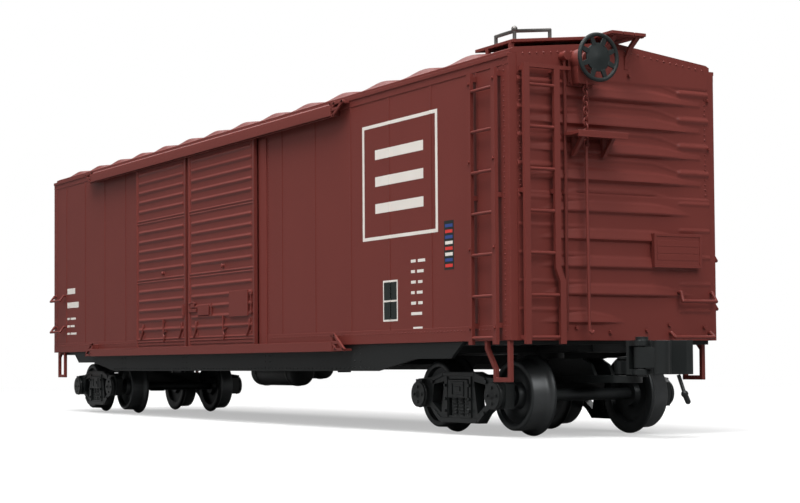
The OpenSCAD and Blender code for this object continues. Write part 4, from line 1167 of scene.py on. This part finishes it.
# %% [markdown]
# A chain hangs from the housing through the platform to a rod. The links are one small ring,
# repeated by Geometry Nodes with every second link turned a quarter.

# %% Chain links by Geometry Nodes
def link_tree():
    """One oval link on every point."""
    tree, source = new_tree("chain_links", [("Radius", "NodeSocketFloat"),
                                            ("Wire", "NodeSocketFloat"),
                                            ("Turn", "NodeSocketVector")])
    ring = add(tree, "GeometryNodeCurvePrimitiveCircle", {"Resolution": 16,
                                                          "Radius": source.outputs["Radius"]})
    oval = add(tree, "GeometryNodeTransform", {"Geometry": ring.outputs["Curve"],
                                              "Scale": (1.0, 0.68, 1.0)})
    wire = add(tree, "GeometryNodeCurvePrimitiveCircle", {"Resolution": 8,
                                                          "Radius": source.outputs["Wire"]})
    solid = add(tree, "GeometryNodeCurveToMesh", {"Curve": oval.outputs[0],
                                                 "Profile Curve": wire.outputs["Curve"]})
    placed = add(tree, "GeometryNodeInstanceOnPoints", {
        "Points": source.outputs["Geometry"], "Instance": solid.outputs[0],
        "Rotation": source.outputs["Turn"]})
    close_tree(tree, source, placed.outputs[0], True)
    return tree


LINKS = link_tree()
PLATFORM_Z = SILL + 49.3
ROD_X = END + 3.0
LINK_GAP = 1.3
chain_points = row((ROD_X, BRAKE_Y, PLATFORM_Z - 2.6), (ROD_X, BRAKE_Y, housing_low.z + 0.5),
                   LINK_GAP)
for name, points, turn in (("brake_chain_even", chain_points[::2], (0, QUARTER, 0)),
                           ("brake_chain_odd", chain_points[1::2], (0, QUARTER, QUARTER))):
    grown(name, LINKS, points, {"Radius": 0.98 * MM, "Wire": 0.22 * MM, "Turn": turn},
          red_lacquer, "car_body")

rod = Shape()
rod.tube([(ROD_X, BRAKE_Y + 0.4, SILL + 2.2), (ROD_X, BRAKE_Y, PLATFORM_Z - 3.4),
          (ROD_X, BRAKE_Y + 0.5, PLATFORM_Z - 2.8), (ROD_X, BRAKE_Y, PLATFORM_Z - 2.4)], 0.8, 12,
         bend=0.4)
rod.tube([(ROD_X, BRAKE_Y + 0.4, SILL + 2.4), (ROD_X + 0.4, BRAKE_Y + 0.9, SILL + 1.6),
          (ROD_X + 0.1, BRAKE_Y + 1.5, SILL + 2.2)], 0.8, 12, bend=0.5)
make_piece("brake_rod", rod, red_lacquer, "car_body", "brake_rigging")

# %% [markdown]
# The platform is a small floor to stand on at the brake: a plate with raised strips and a lip
# along its edge, on two braces. The retainer valve and its long pipe stand beside it.

# %% Brake platform and retainer
softened("brake_platform", red_lacquer, "car_body", 0.1)
step_low, step_high = corner("brake_platform")
tread = Shape()
for k in range(6):
    y = step_low.y + 1.4 + 2.3 * k
    if abs(y - BRAKE_Y) > 1.9 and abs(y - (BRAKE_Y - 4.8)) > 1.2:
        tread.block((END + 0.9, y, step_high.z - 0.05), (step_high.x - 0.5, y + 0.5,
                                                        step_high.z + 0.12))
tread.block((step_high.x - 0.4, step_low.y + 0.1, step_high.z - 1.5),
            (step_high.x - 0.02, step_high.y - 0.1, step_high.z + 0.1))
make_piece("brake_platform_tread", tread, red_lacquer, "car_body", bevel=0.08)
softened("retainer_valve", red_lacquer, "car_body", 0.08)

# %% [markdown]
# A placard board is a small wooden panel for paper notices, framed by thin battens. It is left
# blank here.

# %% Placard boards
softened("placard_boards", red_lacquer, "car_body", 0.1)
face_x = corner("placard_boards")[1].x
frame_bars = Shape()
top, foot, near, far = SILL + 26.2, SILL + 17.8, 10.0, 24.8
for a, b in (((near, foot), (far, foot + 0.7)), ((near, top - 0.7), (far, top)),
             ((near, foot + 0.71), (near + 0.7, top - 0.71)),
             ((far - 0.7, foot + 0.71), (far, top - 0.71))):
    frame_bars.block((face_x - 0.1, a[0], a[1]), (face_x + 0.16, b[0], b[1]))
for z in (foot + 2.6, foot + 4.3, foot + 6.0):
    frame_bars.block((face_x - 0.1, near + 0.9, z - 0.75), (face_x + 0.06, far - 0.9, z + 0.75))
frame_bars.both_ends()
make_piece("placard_battens", frame_bars, red_lacquer, "car_body", bevel=0.06)

# %% [markdown]
# ## Underframe
# Cast in one with its cross-bearers and bolsters, then blackened. The deep side sills are the
# fish-belly plates that show below the body, with rows of rivets over each cross-bearer.

# %% Underframe and side sills
softened("underframe", frame_lacquer, "car_body", 0.12)
softened("right_sill", frame_lacquer, "car_body", 0.12)
softened("left_sill", frame_lacquer, "car_body", 0.12)
sill_low = corner("right_sill")[0]
BELLY = SILL - 7.2
sill_rivets = []
for x in (-88, -31.7, 31.7, 88):
    for dx in (-1.6, 1.6):
        sill_rivets += row((x + dx, sill_low.y, BELLY + 1), (x + dx, sill_low.y, SILL - 1), 1.5)
sill_rivets += row((-97, sill_low.y, BELLY + 0.7), (97, sill_low.y, BELLY + 0.7), 2.4)
for name, points in (("right_sill_rivets", sill_rivets), ("left_sill_rivets",
                                                          turned(sill_rivets))):
    grown(name, RIVETS, points, {"Radius": 0.26 * MM, "Turn": FACING_SIDE, "Flatness": 0.6},
          frame_lacquer, "car_body")

# %% [markdown]
# The air tank and the brake cylinder are pressed steel drums with domed ends and raised bands.
# The brake cylinder has a push rod, and the control valve stands beside it.

# %% Tanks, valve and pipe
def drum(shape, x0, x1, y, z, radius):
    """A drum that lies along the car."""
    dome = [(radius * math.cos(a), 0.9 * math.sin(a)) for a in
            [QUARTER * k / 6 for k in range(7)]]
    left = [(r, x0 + 0.1 - h) for r, h in reversed(dome)]
    right = [(r, x1 - 0.1 + h) for r, h in dome]
    shape.turn([(0.0, left[0][1])] + left[1:] + right[:-1] + [(0.0, right[-1][1])], (0, y, z),
               "x", 40)
    for x in (x0 + 2.5, x1 - 3.5):
        shape.turn([(radius - 0.1, x), (radius + 0.18, x), (radius + 0.18, x + 1.1),
                    (radius - 0.1, x + 1.1)], (0, y, z), "x", 40)


DECK = SILL - 1.0
tank = Shape()
drum(tank, -8, 20, -13, DECK - 6.6, 4.3)
for x in (-4.6, 16.4):
    tank.block((x, -14.5, DECK - 3), (x + 1.2, -11.5, DECK))
make_piece("air_drum", tank, frame_lacquer, "car_body", "air_reservoir",
           bevel=0.08)
cylinder = Shape()
drum(cylinder, -28, -13, 12, DECK - 5.4, 3.7)
cylinder.tube([(-31.4, 12, DECK - 5.4), (-27.6, 12, DECK - 5.4)], 1.4, 16)
cylinder.block((-23, 10.5, DECK - 2.2), (-18, 13.5, DECK))
make_piece("brake_cylinder_drum", cylinder, frame_lacquer, "car_body",
           "brake_cylinder", bevel=0.08)
softened("control_valve", frame_lacquer, "car_body", 0.2)
softened("train_pipe", frame_lacquer, "car_body", 0.0)

# %% [markdown]
# ## Trucks
# Each sideframe is one casting. Over it go the things that are separate on the real truck: coil
# springs in the window, journal lids with their hinges, and bolt heads. The coils are drawn round
# the CAD's plain pillars.

# %% Trucks
TRUCK_X, WHEELBASE = 131.0, 35.0
AXLE_Z = corner("front_outer_axle")[0].z / 2 + corner("front_outer_axle")[1].z / 2
FRAME_FACE = 25.0             # outer face of a sideframe, from the middle of the truck
LID_FACE = 26.7


def spring(shape, x, y):
    """A coil spring in the truck window."""
    low, high, turns = AXLE_Z - 5.2, AXLE_Z - 0.7, 5.5
    path = [(x + 1.12 * math.cos(math.tau * turns * t), y + 1.12 * math.sin(math.tau * turns * t),
             low + (high - low) * t) for t in [k / 88 for k in range(89)]]
    shape.tube(path, 0.5, 6)


def truck_side(front, right):
    """Springs, lids and bolts for one side of one truck."""
    kit = Shape()
    for x in (-3, 0, 3):
        spring(kit, TRUCK_X + x, -FRAME_FACE + 1.25)
    for x in (-WHEELBASE / 2, WHEELBASE / 2):
        kit.turn([(0, -LID_FACE), (1.1, -LID_FACE), (1.4, -LID_FACE + 0.3),
                  (2.6, -LID_FACE + 0.3), (3.35, -LID_FACE + 0.5), (3.5, -LID_FACE + 0.8),
                  (3.3, -LID_FACE + 1.0), (0, -LID_FACE + 1.0)], (TRUCK_X + x, 0, AXLE_Z), "y",
                 40)
        kit.block((TRUCK_X + x - 1.5, -LID_FACE + 0.35, AXLE_Z + 2.6),
                  (TRUCK_X + x + 1.5, -FRAME_FACE + 0.2, AXLE_Z + 3.9))
    # rim round the top of the frame
    for s in (-1, 1):
        kit.prism([(TRUCK_X + s * 7.4, AXLE_Z + 5.7), (TRUCK_X + s * 12.4, AXLE_Z + 4.3),
                   (TRUCK_X + s * 12.2, AXLE_Z + 3.5), (TRUCK_X + s * 7.4, AXLE_Z + 4.7)], "y",
                  -FRAME_FACE - 0.35, -FRAME_FACE + 0.3)
        kit.prism([(TRUCK_X + s * 8.9, AXLE_Z - 6.9), (TRUCK_X + s * 11.9, AXLE_Z - 4.7),
                   (TRUCK_X + s * 11.6, AXLE_Z - 3.8), (TRUCK_X + s * 8.4, AXLE_Z - 5.9)], "y",
                  -FRAME_FACE - 0.35, -FRAME_FACE + 0.3)
    kit.block((TRUCK_X - 7.3, -FRAME_FACE - 0.35, AXLE_Z + 4.8),
              (TRUCK_X + 7.3, -FRAME_FACE + 0.3, AXLE_Z + 5.7))
    kit.block((TRUCK_X - 8.6, -FRAME_FACE - 0.4, AXLE_Z - 6.9),
              (TRUCK_X + 8.6, -FRAME_FACE + 0.3, AXLE_Z - 5.8))
    for s in (-1, 1):
        kit.block((TRUCK_X + s * 5.1, -FRAME_FACE - 0.35, AXLE_Z - 5.6),
                  (TRUCK_X + s * 6.0, -FRAME_FACE + 0.3, AXLE_Z + 4.6))
    # square frame on the end of the bolster
    for a, b, c, d in ((-2.9, 2.9, 2.9, 3.4), (-2.9, 2.9, -0.4, 0.1), (-2.9, -2.4, 0.1, 2.9),
                       (2.4, 2.9, 0.1, 2.9), (-1.2, 1.2, 0.9, 2.1)):
        kit.block((TRUCK_X + a, -FRAME_FACE - 0.62, AXLE_Z + c),
                  (TRUCK_X + b, -FRAME_FACE - 0.3, AXLE_Z + d))
    if not right:
        kit.points = [(x, -y, z) for x, y, z in kit.points]
    if not front:
        kit = kit.half_turned()
    return kit


for end in ("front", "rear"):
    body = end + "_truck"
    softened(end + "_bolster", black_casting, body, 0.2)
    softened(end + "_coupler_arm", black_casting, body, 0.12)
    for side in ("right", "left"):
        node = "%s_%s_sideframe" % (end, side)
        softened(node, black_casting, body, 0.22)
        right_on_drawing = (side == "right") == (end == "front")
        kit = truck_side(end == "front", right_on_drawing)
        make_piece(node + "_fittings", kit, black_casting, body, bevel=0.1)

# the coupler arm is folded up along both edges, which keeps the thin plate from bending
for end in ("front", "rear"):
    edges = Shape()
    for s in (-1, 1):
        edges.prism([(TRUCK_X + 5.6, AXLE_Z + 4.6), (TRUCK_X + 27.4, AXLE_Z + 4.6),
                     (TRUCK_X + 25.6, AXLE_Z + 7.4), (TRUCK_X + 22.0, AXLE_Z + 9.0),
                     (TRUCK_X + 9.0, AXLE_Z + 9.0), (TRUCK_X + 6.6, AXLE_Z + 7.6)], "y",
                    s * 2.6 - 0.45, s * 2.6 + 0.45)
    edges = edges if end == "front" else edges.half_turned()
    make_piece(end + "_arm_edges", edges, black_casting, end + "_truck",
               bevel=0.1)

lid_bolts = [(TRUCK_X + x + dx, -LID_FACE + 0.2, AXLE_Z + dz)
             for x in (-WHEELBASE / 2, WHEELBASE / 2)
             for dx, dz in ((-1.9, 0), (1.9, 0), (0, -1.9), (0, 1.9))]
lid_bolts += [(TRUCK_X + s * 5.6, -FRAME_FACE - 0.4, AXLE_Z + z) for s in (-1, 1)
              for z in (-4, -1, 2.4)]
pins = [(TRUCK_X + x, -FRAME_FACE - 0.3, AXLE_Z + 3.3) for x in (-12.6, 12.6)]
for end, turn_round in (("front", False), ("rear", True)):
    for mirror in (False, True):
        points, screws = ([(x, -y, z) for x, y, z in group] if mirror else group
                          for group in (lid_bolts, pins))
        points = turned(points) if turn_round else points
        screws = turned(screws) if turn_round else screws
        tag = "%s_%s" % (end, "b" if mirror else "a")
        grown(tag + "_journal_bolts", BOLTS, points, {"Radius": 0.42 * MM, "Height": 0.5 * MM,
                                                      "Turn": FACING_SIDE},
              black_casting, end + "_truck")
        grown(tag + "_frame_screws", RIVETS, screws, {"Radius": 0.55 * MM, "Turn": FACING_SIDE,
                                                      "Flatness": 0.5},
              wheel_steel, end + "_truck")

# %% [markdown]
# ## Wheels and axles
# Wheels are turned on a lathe, so each is one profile swept round: hub, dished web, rim face,
# tread and flange. The tread is given a lighter grey than the oiled faces, a painted highlight
# that stands for the soft light it catches.

# %% Wheels and axles
BACK_TO_BACK = 28.2           # between the inner faces of a pair of wheels
# Tread finish: a lighter grey than the wheel steel, a painted highlight for the soft light on the
# tread
tread_painted_highlight = surface("tread_painted_highlight", "#3e4041", "#4b4d4e", 0.4, 5, 0.4, 0.004, metal=0.6)
WHEEL_PROFILE = [(1.5, 0.3), (3.0, 0.3), (3.2, 0.9), (3.6, 1.5), (5.4, 1.8), (6.9, 1.5),
                 (7.3, 0.4), (9.3, 0.0), (9.85, 0.25), (10.0, 0.6), (9.9, 1.0), (9.3, 1.5),
                 (8.95, 1.9), (8.75, 2.4), (8.6, 6.0), (8.4, 6.3), (8.1, 6.4), (7.4, 6.4),
                 (7.1, 6.2), (6.9, 5.0), (5.6, 4.3), (4.0, 4.4), (3.4, 4.7), (3.1, 6.0),
                 (2.8, 6.4), (1.5, 6.4)]
# the faces of the tread, which take the painted highlight
WHEEL_MARKS = [1 if 8.5 < (a[0] + b[0]) / 2 < 9.9 and a[1] > 0.9 and b[1] < 6.35 else 0
               for a, b in zip(WHEEL_PROFILE, WHEEL_PROFILE[1:] + WHEEL_PROFILE[:1])]
for end in ("front", "rear"):
    for place in ("outer", "inner"):
        node = "%s_%s_wheels" % (end, place)
        low, high = corner(node)
        x, z = (low.x + high.x) / 2, (low.z + high.z) / 2
        pair = Shape()
        for s in (-1, 1):
            pair.turn([(r, s * (BACK_TO_BACK / 2 + h)) for r, h in WHEEL_PROFILE], (x, 0, z),
                      "y", 72, WHEEL_MARKS)
        make_piece(node + "_turned", pair, (wheel_steel, tread_painted_highlight),
                   "%s_%s_wheelset" % (end, place), node, sharp=40)
        softened("%s_%s_axle" % (end, place), wheel_steel, "%s_%s_wheelset" % (end, place),
                 0.1)

# %% [markdown]
# ## Couplers
# Each coupler is a casting with a swinging knuckle on an upright pin. The thin lever under it
# stands for the air hose, and ends in a small ball.

# %% Couplers
for end in ("front", "rear"):
    softened(end + "_coupler", black_casting, end + "_coupler_head", 0.25)
    softened(end + "_knuckle", black_casting, end + "_knuckle_jaw", 0.25)
    softened(end + "_uncoupler", black_casting, end + "_coupler_head", 0.0)

# %% [markdown]
# ## Markings
# A freight car carries small printed data, a coloured label for scanners, a black stencil panel
# and a large emblem. Here they are all plain shapes: rows of blocks for the data, bare panels, and
# an open frame with three bars for the emblem. Each is a film of ink a few hundredths thick.

# %% Printed markings
def inked(shape, x0, x1, up0, up1, mark=0, lift=0.03):
    """A flat patch of ink on the right side. Where it crosses a seam, it climbs over the strip."""
    shape.block((x0, -SIDE - lift, SILL + up0), (x1, -SIDE + 0.05, SILL + up1), mark)
    for seam in seam_places:
        left, right = max(x0, seam - 0.43), min(x1, seam + 0.43)
        if left < right:
            shape.block((left, -SIDE - 0.15 - lift, SILL + up0), (right, -SIDE, SILL + up1), mark)


ink = Shape()
# open frame with three equal bars
for a, b, c, d in ((92, 131, 57.7, 58.6), (92, 131, 27.6, 28.5), (92, 93.1, 28.5, 57.7),
                   (129.9, 131, 28.5, 57.7), (99, 124, 49.0, 51.6), (99, 124, 41.8, 44.4),
                   (99, 124, 34.6, 37.2)):
    inked(ink, a, b, c, d)


def data_rows(shape, x, top, pitch, height, rows):
    """Rows of small bars where a real car carries its data. Each row is a list of lengths."""
    for line, lengths in enumerate(rows):
        start = x
        for length in lengths:
            inked(shape, start, start + length, top - pitch * line, top - pitch * line + height)
            start += length + 1.1


data_rows(ink, 117.5, 20.6, 2.7, 0.75, ((2.4, 3.6), (2.0, 3.2), (2.4, 2.2), (1.8, 2.8),
                                        (2.4, 2.2), (5.4,)))
data_rows(ink, 118.5, 3.4, 2.7, 0.7, ((4.6,),))
data_rows(ink, -148.0, 22.6, 5.4, 2.2, ((9.0,), (13.0,)))
data_rows(ink, -148.0, 12.6, 2.9, 0.8, ((2.6, 6.0), (2.6, 4.6), (2.6, 6.6)))
# stencil panel: white border, two black fields
inked(ink, 102.9, 110.6, 5.8, 16.6)
inked(ink, 103.4, 110.1, 11.4, 16.1, 1, 0.05)
inked(ink, 103.4, 110.1, 6.3, 10.9, 1, 0.05)
# scanner label: coloured bars on black
inked(ink, 133.9, 138.4, 17.9, 30.1, 1)
for k in range(8):
    inked(ink, 134.4, 137.9, 18.5 + 1.42 * k, 19.3 + 1.42 * k, (2, 3, 0, 2, 0, 3, 2, 3)[k], 0.05)
make_piece("right_markings", ink, (white_ink, black_ink, red_ink, blue_ink), "car_body")
make_piece("left_markings", ink.half_turned(), (white_ink, black_ink, red_ink, blue_ink),
           "car_body")
